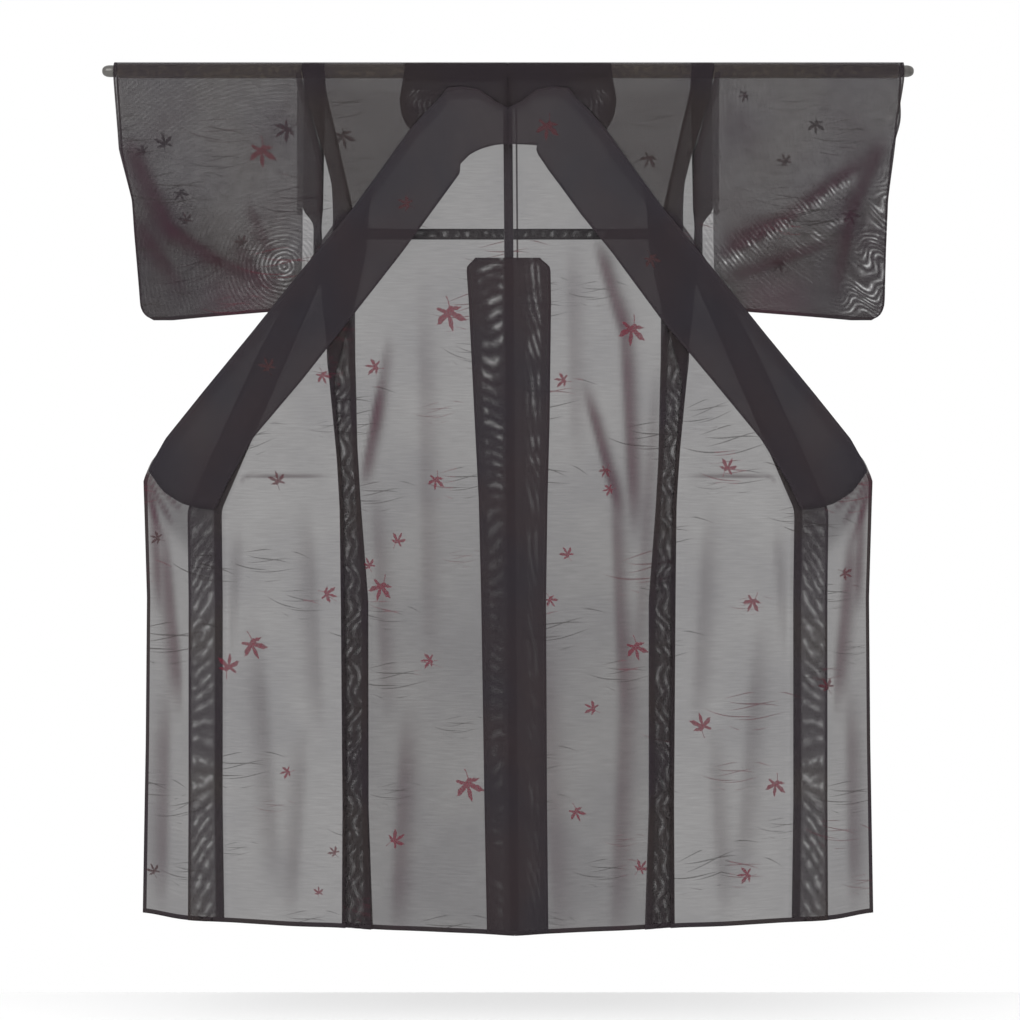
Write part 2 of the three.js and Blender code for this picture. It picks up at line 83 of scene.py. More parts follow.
# %% Edges of the body
FALL, HEM_STARTS, SIDE_SEAM_TOP = -1500.0, -770.0, -383.0
HEM = table("d z", [
    [0, -1520], [46, -1516], [240, -1507], [291, -1502], [372, -1500], [497, -1492], [563, -1490],
    [645, -1474]])
NECK = table("t d z", [[0, 0, -70], [0.2, 21, -60], [0.5, 50, -39], [0.75, 84, -33], [1, 105, -35]])
BACK = table("z side allowance", [
    [0, 360, 321], [-244, 360, 325], [-265, 341, 328], [-325, 341, 325], [-383, 328, 290], [-472, 319, 270],
    [-612, 305, 268], [-753, 295, 260], [-928, 293, 247], [-1290, 290, 247], [-1500, 291, 240]])
FRONT = table("z allowance side fold seam lap y lapel", [
    [-12, 323, 360, 105, 105, 0, -14.9, -14.9], [-35, 318, 355, 105, 105, 0, -15, -15],
    [-60, 313, 348, 131, 131, 0, -15, -15], [-105, 302, 335, 172, 172, 0, -14.5, -14.5],
    [-147, 293, 321, 202, 202, 0, -12.5, -12.5], [-200, 281, 308, 235, 240.5, 0, -9, -13],
    [-246, 271, 306, 244, 274, 14, -7.5, -12.6], [-300, 269, 307, 246, 297, 30, -4.5, -10.6],
    [-383, 269, 320, 262, 334, 44, 0.5, -6.6], [-510, 268, 317, 298, 389, 56, 0.4, -4.9],
    [-545, 267, 313, 306, 404, 57, 0.5, -4.4], [-680, 264, 300, 294, 463, 60, 0.9, -3],
    [-770, 259, 295, 289.5, 502, 60, 0.9, -2.6], [-928, 247, 293, 287.5, 500, 60, 0.4, -3],
    [-1290, 247, 290, 284.5, 500, 60, -0.6, -4], [-1500, 240, 291, 285.5, 497, 64, -1.3, -4.7]])
NECK_HALF, NECK_CORNER, LAPEL_TOP, OKUMI_TOP = 105.0, -35.0, -200.0, -246.0
LAYER, MIDDLE_GAP = 1.7, 0.2
print("tables:", len(BACK["z"]), "rows for the back,", len(FRONT["z"]), "rows for the front")

# %% [markdown]
# ## How cloth becomes a mesh
# Each sheet is a grid of points, worked out by formulas as whole arrays. A mask leaves out the cells that the
# cut doesn't have, such as the neck. Solidify then gives the sheet two faces, as real cloth has.
#
# Every point also carries four values for the material: how many extra layers of cloth are sewn on there, as
# at a hem, with painted shade of folds and of the lower cloth added as parts of a layer; how strongly ripples
# show; how far two weaves are apart there; and how red the painted shade of a fold is. A UV map gives lengths
# along the threads, in metres.

# %% Grids of points with the values they carry
CLOTH = 0.4
CARRIED = ("extra", "ripple", "turns", "shade_tint")


def patch(points, extra=0.0, ripple=0.0, turns=0.0, shade_tint=0.0, origin=0):
    """One grid of a sheet: its points, the values they carry, and the column where u is 0."""
    size = points.shape[:2]
    values = zip(CARRIED, (extra, ripple, turns, shade_tint))
    return {"points": points, "mask": None, "origin": origin,
            **{key: np.broadcast_to(value, size) for key, value in values}}


def some_rows(grid, rows):
    """A patch with only some of its rows, or with its rows the other way up."""
    return {**grid, **{key: grid[key][rows] for key in ("points", *CARRIED)}}


def stacked(patches, **changed):
    """Patches with the same columns, joined row after row into one."""
    return {**patches[0], **changed,
            **{key: np.concatenate([p[key] for p in patches]) for key in ("points", *CARRIED)}}


def run_lengths(points, axis, origin):
    """Lengths along one direction of the grid, summed point to point and counted from the row `origin`."""
    step = np.linalg.norm(np.diff(points, axis=axis), axis=2)
    total = np.insert(np.cumsum(step, axis=axis), 0, 0, axis=axis)
    return total - np.take(total, [origin], axis=axis)


def grid_mesh(name, patches):
    """A mesh from patches of points; points that coincide are merged afterwards."""
    points, faces, lengths, start = [], [], [], 0
    for grid in patches:
        p, origin = grid["points"], grid["origin"]
        ids = np.arange(p[..., 0].size).reshape(p.shape[:2]) + start
        cell = np.stack([ids[:-1, :-1], ids[:-1, 1:], ids[1:, 1:], ids[1:, :-1]], axis=-1)
        faces.append(cell.reshape(-1, 4) if grid["mask"] is None else cell[grid["mask"]])
        across, along = run_lengths(p, 1, origin), run_lengths(p, 0, 0)[:, [origin]]
        lengths.append(np.stack([across, np.broadcast_to(along, across.shape)], -1).reshape(-1, 2))
        points.append(p.reshape(-1, 3))
        start += ids.size
    points, faces = np.concatenate(points), np.concatenate(faces)
    mesh = bpy.data.meshes.new(name)
    mesh.from_pydata((points * MM).tolist(), [], faces.tolist())
    for key in CARRIED:
        values = np.concatenate([grid[key].reshape(-1) for grid in patches]).astype(np.float32)
        mesh.attributes.new(key, "FLOAT", "POINT").data.foreach_set("value", values)
    uv = mesh.uv_layers.new(name="cloth")
    uv.data.foreach_set("uv", (np.concatenate(lengths)[faces.ravel()] * MM).astype(np.float32).ravel())
    return mesh


# %% From a mesh to a piece
def clean(mesh, merge, sliver=None):
    """Merge points nearer than `merge`, drop loose ones and slivers, turn faces out, shade them smooth."""
    work = bmesh.new()
    work.from_mesh(mesh)
    bmesh.ops.delete(work, geom=[v for v in work.verts if not v.link_faces], context="VERTS")
    bmesh.ops.remove_doubles(work, verts=work.verts, dist=merge)
    if sliver:
        bmesh.ops.dissolve_degenerate(work, edges=work.edges, dist=sliver)
    bmesh.ops.recalc_face_normals(work, faces=work.faces)
    for face in work.faces:
        face.smooth = True
    work.to_mesh(mesh)
    work.free()


def stand_in(name, mesh, node, material):
    """An object with one material that takes the place of a CAD node."""
    piece = bpy.data.objects.new(name, mesh)
    bpy.context.scene.collection.objects.link(piece)
    mesh.materials.append(material)
    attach(piece, "root")
    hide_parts(node)
    print(f"{name}: {len(mesh.polygons)} faces")
    return piece


def sheet(name, node, patches, material):
    """A piece of cloth that stands for a CAD node: its mesh, its wall and its cut size in metres."""
    mesh = grid_mesh(name, patches)
    clean(mesh, merge=1e-5)
    piece = stand_in(name, mesh, node, material)
    wall = piece.modifiers.new("wall", "SOLIDIFY")
    wall.thickness = CLOTH * MM
    wall.offset = 0
    return piece

# %% [markdown]
# ## The gauze
# Gauze is mostly holes. In a render, each face of a sheet lets a share of the light straight through and
# reflects a little of the rest, so the share is the material's alpha. One sheet has two faces, and each lets
# the square root of the sheet's share through. Where more layers are sewn on, the share is raised to their
# number, and painted shade is added to that number as parts of a layer, in folds and low down. The painted
# shade of a fold is also tinted a little red, so a point on one carries that tint too.
#
# The threads make a fine lattice, and two lattices that lie over each other beat, which gives the rings and
# ripples of watered silk wherever the cloth is doubled. The real threads are too fine for a render, so each
# point carries how far the two lattices are apart there, in turns.
#
# The maple leaves and the thin reeds are woven in, so they are colour alone. A leaf is a polar curve: pointed
# lobes at even angles, the middle one longest. Each face near a leaf carries UV coordinates that start at the
# leaf's centre, so one small formula draws every leaf. The reeds are long thin lenses, drawn the same way.
#
# The formulas are long chains of Math nodes. A small class with the signs + - * keeps them readable.

# %% Arithmetic with nodes
class Number:
    """A number that a node gives. A sum, difference or product with it is one more Math node."""

    def __init__(self, socket):
        self.socket = socket

    def __add__(self, other):
        return calc("ADD", self, other)

    def __sub__(self, other):
        return calc("SUBTRACT", self, other)

    def __rsub__(self, other):
        return calc("SUBTRACT", other, self)

    def __mul__(self, other):
        return calc("MULTIPLY", self, other)


def calc(operation, *values):
    """One Math node, as a Number. Values are plain numbers or Numbers, at least one of these."""
    tree = next(value.socket.id_data for value in values if isinstance(value, Number))
    node = tree.nodes.new("ShaderNodeMath")
    node.operation = operation
    for socket, value in zip(node.inputs, values):
        if isinstance(value, Number):
            tree.links.new(value.socket, socket)
        else:
            socket.default_value = value
    return Number(node.outputs[0])

# %% A material, and the values it reads
def principled(name, values):
    """A new material, its node tree, and its Principled shader with some sockets set."""
    material = bpy.data.materials.new(name)
    material.use_nodes = True
    shader = material.node_tree.nodes["Principled BSDF"]
    for socket, value in values.items():
        shader.inputs[socket].default_value = value
    return material, material.node_tree, shader


def uv_axes(tree, name):
    """A UV map as a vector, and its two coordinates."""
    uv = tree.nodes.new("ShaderNodeUVMap")
    uv.uv_map = name
    split = tree.nodes.new("ShaderNodeSeparateXYZ")
    tree.links.new(uv.outputs[0], split.inputs[0])
    return uv.outputs[0], Number(split.outputs[0]), Number(split.outputs[1])


def carried(tree, name):
    """A value that the points or the faces carry."""
    node = tree.nodes.new("ShaderNodeAttribute")
    node.attribute_name = name
    return Number(node.outputs["Fac"])

# %% Noise, bands and blends
def noise(tree, vector, scale, stretch=(1, 1, 1), detail=2.0, turn=0.0):
    """Noise on stretched coordinates, about 0.5 on average."""
    place = tree.nodes.new("ShaderNodeMapping")
    place.inputs["Scale"].default_value = stretch
    place.inputs["Rotation"].default_value = (0, 0, turn)
    tree.links.new(vector, place.inputs[0])
    node = tree.nodes.new("ShaderNodeTexNoise")
    node.inputs["Scale"].default_value = scale
    node.inputs["Detail"].default_value = detail
    tree.links.new(place.outputs[0], node.inputs["Vector"])
    return Number(node.outputs[0])


def band(value, low, high):
    """0 below low, 1 above high, smooth between."""
    tree = value.socket.id_data
    node = tree.nodes.new("ShaderNodeMapRange")
    node.interpolation_type = "SMOOTHSTEP"
    tree.links.new(value.socket, node.inputs["Value"])
    node.inputs["From Min"].default_value = low
    node.inputs["From Max"].default_value = high
    return Number(node.outputs[0])


def blend(share, first, second):
    """A colour a share of the way from the first to the second, each of them a socket or three numbers."""
    tree = share.socket.id_data
    node = tree.nodes.new("ShaderNodeMix")
    node.data_type = "RGBA"
    tree.links.new(share.socket, node.inputs["Factor"])
    for name, colour in (("A", first), ("B", second)):
        if isinstance(colour, bpy.types.NodeSocket):
            tree.links.new(colour, node.inputs[name])
        else:
            node.inputs[name].default_value = (*colour, 1)
    return node.outputs["Result"]

# %% One leaf and one group of reeds
LOBES = [(0.0, 1.0, 0.40), (0.92, 0.92, 0.40), (1.9, 0.7, 0.44)]
LEAF_CENTRE, LEAF_POINT = 0.24, 0.62
STEM_HALF, STEM_LENGTH = 0.035, 0.75


def leaf_mask(tree):
    """1 where the radius is under the longest lobe, length * (1 - |angle - middle| / width) ** LEAF_POINT."""
    vector, x, y = uv_axes(tree, "leaf")
    x = x + (noise(tree, vector, 1.7) - 0.5) * 0.55
    y = y + (noise(tree, vector, 2.3, turn=1.0) - 0.5) * 0.4
    radius = calc("SQRT", x * x + y * y)
    angle = calc("ABSOLUTE", calc("ARCTAN2", x, y))
    reach = LEAF_CENTRE
    for middle, length, width in LOBES:
        away = calc("DIVIDE", calc("ABSOLUTE", angle - middle), width)
        lobe = calc("POWER", calc("MAXIMUM", 1.0 - away, 0.0), LEAF_POINT)
        reach = calc("MAXIMUM", lobe * length, reach)
    below = calc("LESS_THAN", y, 0.0) * calc("GREATER_THAN", y, -STEM_LENGTH)
    stem = calc("LESS_THAN", calc("ABSOLUTE", x), STEM_HALF) * below
    return calc("MAXIMUM", calc("LESS_THAN", radius, reach), stem)


def reed_family(s, t, rows, lean, seed):
    """Thin lenses in rows side by side: each is shifted along, bent a little, and pointed at both ends."""
    t = t + s * lean
    rank, row = (calc(operation, t * rows) for operation in ("FLOOR", "FRACT"))
    along = s + calc("SINE", rank * seed) * 0.5
    bend = calc("SINE", along * 3.1 + rank) * 0.22
    half_width = (0.36 - along * along) * 0.13
    return calc("LESS_THAN", calc("ABSOLUTE", row - (bend + 0.5)), half_width)


def reed_mask(tree):
    """1 on two families of reeds that cross at a small angle."""
    _, s, t = uv_axes(tree, "reed")
    both = calc("MAXIMUM", reed_family(s, t, 1.3, 0.5, 4.7), reed_family(s, t, 1.7, -0.22, 2.9))
    return both * calc("LESS_THAN", calc("ABSOLUTE", t), 1.0)

# %% The gauze material
THREADS = 1.5
CLOUDS, SLUBS, GRAIN = 5.0, 60.0, 420.0
FOLD_SHADE_RED, LEAF_RED, DARK_DYE = (0.075, 0.014, 0.034), (0.15, 0.024, 0.04), (0.035, 0.03, 0.028)


def beats(tree, vector, grain, sharpness):
    """Light where two lattices fall together: a sine of the turns between them, broken into short patches."""
    unrest = (noise(tree, vector, grain) - 0.5) * 0.7
    wave = calc("SINE", (carried(tree, "turns") + unrest) * (2 * math.pi))
    light = calc("POWER", (wave + 1.0) * 0.5, sharpness)
    short = band(noise(tree, vector, 1.04 * grain), 0.38, 0.6) * 0.8 + 0.2
    return light * short * carried(tree, "ripple")


def gauze(name, through, tints, motifs=True, lattice=0.07, grain=50.0, sharpness=1.15):
    """Cloth that lets the share `through` of the light pass in one sheet, its square root at each face."""
    material, tree, shader = principled(name, {"Roughness": 0.85, "Specular IOR Level": 0.12})
    vector, u, v = uv_axes(tree, "cloth")
    warp, weft = (calc("SINE", along * (2 * math.pi / (THREADS * MM))) for along in (u, v))
    threads = (warp + weft) * (lattice / 2)
    clouds = noise(tree, vector, CLOUDS)
    slubs = (noise(tree, vector, SLUBS, (0.5, 7.0, 1.0)) - 0.5) * 0.28
    uneven = threads + (clouds - 0.5) * 0.35 + (slubs - beats(tree, vector, grain, sharpness))
    # The extra layers include painted shade, so this alpha holds painted shade as well as real layers.
    power = (carried(tree, "extra") + 1.0) * (uneven + 1.0) * 0.5
    passed = calc("POWER", through, calc("MAXIMUM", power, 0.1))
    colour = blend(band(clouds, 0.38, 0.62), *tints)
    # Painted shade: the red tint of the painted shade in folds.
    colour = blend(carried(tree, "shade_tint"), colour, FOLD_SHADE_RED)
    if motifs:
        thin = band(noise(tree, vector, GRAIN, detail=1.0), 0.3, 0.62)
        leaf, reed = leaf_mask(tree) * (thin * 0.45 + 0.55), reed_mask(tree) * (thin * 0.35 + 0.3)
        woven = calc("MAXIMUM", leaf, reed)
        passed = passed * (1.0 - woven * 0.62)
        colour = blend(woven, colour, blend(carried(tree, "dye"), LEAF_RED, DARK_DYE))
    tree.links.new(colour, shader.inputs["Base Color"])
    tree.links.new((1.0 - passed).socket, shader.inputs["Alpha"])
    bump = tree.nodes.new("ShaderNodeBump")
    bump.inputs["Distance"].default_value = 0.0002
    tree.links.new(threads.socket, bump.inputs["Height"])
    tree.links.new(bump.outputs[0], shader.inputs["Normal"])
    return material


THROUGH = 0.265
plain = gauze("gauze_plain", THROUGH, [(0.030, 0.026, 0.028), (0.027, 0.025, 0.030)], motifs=False)
figured = gauze("gauze_with_leaves", THROUGH, [(0.038, 0.030, 0.030), (0.033, 0.026, 0.031)])
collar_cloth = gauze("collar_gauze", THROUGH, [(0.036, 0.028, 0.032), (0.031, 0.027, 0.033)])
lining = gauze("lining_gauze", 0.25, [(0.036, 0.027, 0.030), (0.031, 0.026, 0.031)], motifs=False,
               grain=27.0, sharpness=0.7)
print("materials:", [m.name for m in (plain, figured, collar_cloth, lining)])

# %% [markdown]
# ## The surface of the back
# The back hangs from the rod. It leans a little forward on its way down, bows forward to its sides, and falls
# in a few soft folds. Everything that lies on it, such as the binding and the seat strip, is this same
# surface moved out by its own small distance, so nothing floats and nothing sinks in.

# %% Folds of the cloth
BODY_RADIUS = 15.2
BACK_FOLDS = table("x1 z1 x2 z2 height width", [
    [160, -310, 204, -460, 6, 15], [204, -440, 221, -780, 6, 16], [140, -570, 192, -760, 7, 12],
    [188, -740, 200, -1080, 4, 15], [-150, -420, -140, -1000, 1.5, 22],
    [112, -330, 118, -640, 1.5, 20], [210, -1000, 190, -1480, 3, 22],
    [-226, -560, -252, -712, 6, 12], [-212, -480, -236, -640, 3, 12], [258, -560, 230, -1000, 2, 16],
    [-232, -760, -214, -1100, 2, 18], [60, -1000, 90, -1490, 2, 26], [-180, -1150, -196, -1480, 3, 22]])


def ridges(folds, a, z):
    """Folds added up, each a Gaussian across a line, steeper on one side of it and fading at its ends."""
    total = 0.0
    for x1, z1, x2, z2, height, width in zip(*folds.values()):
        dx, dz = x2 - x1, z2 - z1
        length = math.hypot(dx, dz)
        along = ((a - x1) * dx + (z - z1) * dz) / length ** 2
        across = ((a - x1) * dz - (z - z1) * dx) / length
        fading = smooth(along, -0.2, 0.25) * (1 - smooth(along, 0.75, 1.2))
        half = width * np.where(across < 0, 1.0, 0.5)
        total = total + height * fading * np.exp(-(across / half) ** 2)
    return total

# %% The back as a function of X and height
LEAN, BOW, SIDE_X, SEAM_DRIFT = 4.9, 7.6, 320.0, 12.0


def drift(z):
    """The middle seam wanders to the wearer's left on its way to the hem."""
    return SEAM_DRIFT * np.clip(np.asarray(z, float) / FALL, 0, 1)


def back_y(x, z):
    """Y of the back: the rod's radius, less the lean, a bow that grows with x squared, and the folds."""
    hang = BODY_RADIUS - LEAN * np.clip(z / FALL, 0, 1)
    bow = BOW * smooth(-z, 12, -SIDE_SEAM_TOP) * np.minimum(1.2, (x / SIDE_X) ** 2)
    small = 0.5 * np.sin(x / 23 + 1.3 * np.sin(z / 170)) * smooth(-z, 40, 300)
    return hang - bow - ridges(BACK_FOLDS, x, z) - small


def bent(z, d):
    """Heights below the thigh stretch so that the last row lies on the hem line."""
    hem = read(HEM, d, "z", 25)
    stretch = (hem - HEM_STARTS) / (FALL - HEM_STARTS)
    return np.where(z > HEM_STARTS, z, HEM_STARTS + (z - HEM_STARTS) * stretch)


def lower_dusk(z):
    """Up to a quarter of a layer more below the seat, where the room behind the cloth is darker."""
    return 0.24 * smooth(-z, 450, 1100)


# Painted shade: folds darken the cloth as parts of a layer, in step with their height, and tint it red.
FOLD_SHADE, FOLD_SHADE_TINT = 0.145, 0.085


def fold_shade_tint(height):
    """How red the painted shade of a fold is, from its height in mm."""
    return np.clip(FOLD_SHADE_TINT * height, 0, 0.8)


print("the back at the waist:", np.round(back_y(np.array([0.0, 150.0, 300.0]), -285.0), 1))

# %% [markdown]
# ## The two body panels
# Each panel is one length of cloth: up the back from the hem, over the rod, and down the front. It could be
# two pieces joined at the shoulder, but a kimono has no shoulder seam, and one strip keeps the weave running
# over the rod. Below the neck the front is turned outwards like a lapel, which swings okumi and collar out to
# the side, and a small fold stays over the side seam down to the hem.
#
# A row goes from the middle seam (or the lapel's edge) over the fold and the side edge to the end of the seam
# allowance. Every row has the same columns, so the whole panel is one grid.

# %% Columns and turns of a panel
HEM_DEPTH = 8.0
INNER, OUTER, CORNER, TAIL, LAP = 40, 34, 7, 7, 7
TURN_REACH, TURN_START = 1.7, 1.2
ROW_STEP = 9.0


def turn(at, direction, y0, y1):
    """Half an ellipse that turns a path back at `at`, from plane y0 to plane y1, in CORNER columns."""
    a = np.linspace(0, np.pi, CORNER)
    at, y0, y1 = (np.asarray(v, float)[:, None] for v in (at, y0, y1))
    return at + direction * (TURN_REACH * np.sin(a) - TURN_START), mix(y0, y1, (1 - np.cos(a)) / 2)


def columns(a, b, shares):
    """For each row, the values at the given shares of the way from a to b."""
    return a[:, None] * (1 - shares) + b[:, None] * shares


def inside(count):
    """Even shares between 0 and 1, without the two ends."""
    return np.linspace(0, 1, count + 2)[1:-1]


RAW_EDGE = np.array([0.14, 0.2, 0.5, 0.72, 0.8, 0.93, 1.0])

# %% Allowances, hem and rows
def allowance_values(d, tail, zz, from_height):
    """Extra layers, ripples and turns of the last columns: dark along both edges, upright streaks between."""
    extra, ripple = np.zeros_like(d), np.zeros_like(d)
    extra[:, -3:] += np.array([0.5, 1.2, 1.2])
    streaks = np.array([0, 0.92, 0.92, 0.92, 0, 0, 0])
    ripple[:, -TAIL:] = streaks * smooth(-zz[:, -TAIL:], from_height, from_height + 90)
    turns = (d - tail[:, None]) / 15 + 0.4 * np.sin(zz / 9) + 0.6 * np.sin(zz / 31) + zz / 90
    return extra, ripple, turns


def near_hem(z):
    """Extra layers at height z: the hem is rolled up, and its roll is HEM_DEPTH high."""
    return 3.0 * (z < FALL + HEM_DEPTH)


def heights(top, bottom, step):
    """Even heights from top down to bottom, with two close rows where the hem's fold ends."""
    rows = np.linspace(top, bottom, int(round((top - bottom) / step)) + 1)
    if bottom > FALL:
        return rows
    rows = rows[rows > FALL + HEM_DEPTH + 3]
    return np.concatenate([rows, [FALL + HEM_DEPTH + 0.3, FALL + HEM_DEPTH - 0.3, FALL]])

# %% The back and the top of a panel
MIDDLE_LINE = [0, 4, 8, 12.2, 12.6, 15.2, 15.6]


def beside_binding(sign, d, z):
    """The edge of the middle seam's allowance: a line 3 mm wide beside the binding, on the wearer's left."""
    return 1.4 * ((sign > 0) & (d > 12.4) & (d < 15.4) & (z > -330))


def back_part(sign, z):
    """Rows of the back at heights z: d runs from the middle seam to the side, round it, and back inwards."""
    side, tail = read(BACK, z, "side", 6), read(BACK, z, "allowance", 6)
    inner = np.concatenate([MIDDLE_LINE, np.linspace(20, NECK_HALF, INNER - len(MIDDLE_LINE))])
    inner = np.broadcast_to(inner, (len(z), INNER))
    round_d, round_y = turn(side, 1, 0 * z, LAYER + 0 * z)
    outer = columns(NECK_HALF + 0 * z, round_d[:, 0], inside(OUTER))
    d = np.concatenate([inner, outer, round_d, columns(round_d[:, -1], tail, RAW_EDGE)], axis=1)
    lift = np.concatenate([0 * d[:, :INNER + OUTER], round_y, LAYER + 0 * d[:, -TAIL:]], axis=1)
    zz = z[:, None] + 0 * d
    x = sign * (d + MIDDLE_GAP) + drift(zz) * np.clip(1 - d / SIDE_X, 0, 1)
    extra, ripple, turns = allowance_values(d, tail, zz, 330)
    folds = ridges(BACK_FOLDS, x, zz)
    # Painted shade: folds and the lower back are darkened as parts of a layer; hem and binding edge are real
    # layers.
    extra += near_hem(zz) + FOLD_SHADE * folds + lower_dusk(zz) + beside_binding(sign, d, zz)
    points = np.stack([x, back_y(x, zz) - lift, bent(zz, d)], -1)
    return patch(points, extra, ripple, turns, fold_shade_tint(folds))


def over_rod(x, radius):
    """Rows carried over the rod from back to front, each point at its own radius from the rod's axis."""
    a = np.linspace(0, np.pi, 19)[:, None]
    return np.stack([x + 0 * a, radius * np.cos(a) + 0 * x, radius * np.sin(a) + 0 * x], -1)

# %% The front of a panel
FRONT_FOLDS = table("x1 z1 x2 z2 height width", [
    [325, -711, 466, -712, 4.5, 4], [452, -709, 503, -744, 5, 4], [350, -800, 330, -1130, 2, 20],
    [440, -1000, 410, -1400, 2, 24], [472, -820, 486, -1010, 3, 14], [360, -1180, 378, -1460, 2, 20]])


def billow(z, t):
    """Slack between armhole and collar: a soft bulge towards the viewer, highest in the middle."""
    return 5 * smooth(-z, 30, 110) * (1 - smooth(-z, 130, 200)) * np.sin(np.pi * np.clip(t, 0, 1)) ** 2


def front_part(sign, z):
    """Rows of the front: allowance past the okumi seam, lapel, fold, side edge, and the armhole allowance."""
    seam, fold, side, tail, y = (
        read(FRONT, z, key, 8) for key in ("seam", "fold", "side", "allowance", "y"))
    lapel, lap = (read(FRONT, z, key) for key in ("lapel", "lap"))
    lap = np.where(z > OKUMI_TOP, 0, lap)
    fold_d, fold_y = turn(fold, -1, lapel, y)
    side_d, side_y = turn(side, 1, y, y + LAYER)
    top = z > LAPEL_TOP + 0.01
    rest = INNER - LAP - CORNER
    past = seam[:, None] + lap[:, None] * np.array([1.0, 0.94, 0.92, 0.86, 0.55, 0.32, 0.24])
    inner = np.concatenate([past, columns(seam, fold_d[:, 0], inside(rest)), fold_d], axis=1)
    inner_y = np.concatenate([np.broadcast_to(lapel[:, None], (len(z), LAP + rest)), fold_y], axis=1)
    outer = columns(np.where(top, fold, fold_d[:, -1]), side_d[:, 0], inside(OUTER))
    inner[top], inner_y[top] = fold[top, None], y[top, None]
    tail_d = columns(side_d[:, -1], tail, RAW_EDGE)
    d = np.concatenate([inner, outer, side_d, tail_d], axis=1)
    y = y[:, None]
    yy = np.concatenate([inner_y, y + 0 * outer, side_y, y + LAYER + 0 * tail_d], axis=1)
    zz = z[:, None] + 0 * d
    share = (np.arange(d.shape[1])[None, :] - INNER) / (OUTER + 2.0)
    open_part = np.zeros_like(d)
    open_part[:, LAP:LAP + rest] = np.sin(np.linspace(0, np.pi, rest)) ** 0.5
    creases = ridges(FRONT_FOLDS, d, zz) * open_part * smooth(-zz, 640, 700)
    extra, ripple, turns = allowance_values(d, tail, zz, 480)
    # Painted shade: the creases and the lower cloth are darkened as parts of a layer; the hem is a real one.
    extra += near_hem(zz) + FOLD_SHADE * creases + 0.1 * lower_dusk(zz) * (open_part > 0)
    extra += 0.13 * smooth(zz, LAPEL_TOP - 60, LAPEL_TOP)
    extra[:, :LAP] += np.array([1.3, 1.3, 0.3, 0.3, 0.3, 0.3, 0.3])
    lower = smooth(-zz[:, :LAP], 690, 780)
    ripple[:, :LAP] = np.array([0, 0, 0, 0.8, 0.8, 0.8, 0]) * lower
    slant = (0.9 + 0.7 * np.sin(zz / 83)) * (d - 530) / 26
    turns[:, :LAP] = (zz / 29 + slant + 0.4 * np.sin(zz / 37 + d / 23))[:, :LAP]
    slack = billow(zz, np.broadcast_to(share, d.shape)) + 0.5 * creases
    points = np.stack([sign * d, yy - slack, bent(zz, d)], -1)
    return patch(points, extra, ripple, turns, fold_shade_tint(creases) * 0.6)


def neck_part(sign, lower):
    """The row of the neck seam: the neck arc replaces the inner columns of the first front row."""
    row = lower.copy()
    t = np.linspace(0, 1, INNER)
    row[:INNER, 0] = sign * (MIDDLE_GAP + read(NECK, t, "d", 0.04))
    row[:INNER, 1] = lower[INNER, 1]
    row[:INNER, 2] = read(NECK, t, "z", 0.04)
    return row

# %% Put a panel together
def body_panel(hand, sign):
    """Back, rod, neck and front stacked into one grid; the mask leaves out neck and collar slope."""
    z_back = heights(-14, FALL, ROW_STEP)[::-1]
    z_front = np.concatenate([heights(NECK_CORNER, LAPEL_TOP, 8), heights(LAPEL_TOP - 7, -691, ROW_STEP),
                              heights(-694, -757, 3), heights(-764, FALL, ROW_STEP)])
    crown = back_part(sign, np.array([0.0]))
    rod = over_rod(*crown["points"][0].T[:2])
    front = front_part(sign, z_front)
    neck = neck_part(sign, front["points"][0])
    steps = np.linspace(0, 1, 6)[1:-1, None, None]
    back, bib = back_part(sign, z_back), mix(rod[-1][None], neck[None], steps)
    whole = stacked([back, patch(rod), patch(bib), patch(neck[None]), some_rows(front, slice(1, None))],
                    origin=INNER + OUTER)
    rows, columns = whole["points"].shape[:2]
    whole["mask"] = mask = np.ones((rows - 1, columns - 1), bool)
    first = len(z_back) + len(rod) + len(bib)
    lapel = first + int(np.argmin(np.abs(z_front - LAPEL_TOP)))
    mask[first:lapel, :INNER - 1] = False
    mask[lapel:lapel + 5, :LAP] = False
    return sheet(f"body_panel_{hand}", f"body_{hand}", [whole],
                 material=figured)


SIDES = [("left", 1), ("right", -1)]
panels = [body_panel(hand, sign) for hand, sign in SIDES]

# %% [markdown]
# ## The okumi
# The okumi is the long narrow piece between the front panel and the collar. Along its seam lies the panel's
# allowance, about 60 mm wide, which shows as a dark strip. Okumi and panel could be one surface, but then the
# strip would have to be painted; as a sheet of its own behind the allowance it is real.

# %% Each okumi
OKUMI_EDGE = table("z d", [
    [OKUMI_TOP, 274], [-355, 361], [-423, 416], [-472, 455], [-665, 611], [-686, 627], [-718, 640],
    [-928, 634], [-1192, 636], [-1500, 641]])
OKUMI_FOLDS = table("x1 z1 x2 z2 height width", [
    [632, -700, 574, -768, 5, 5], [636, -706, 590, -790, 5, 5], [637, -716, 606, -820, 5, 6],
    [602, -823, 576, -1104, 5, 16], [622, -740, 612, -930, 4, 9], [600, -1120, 606, -1460, 3, 18]])


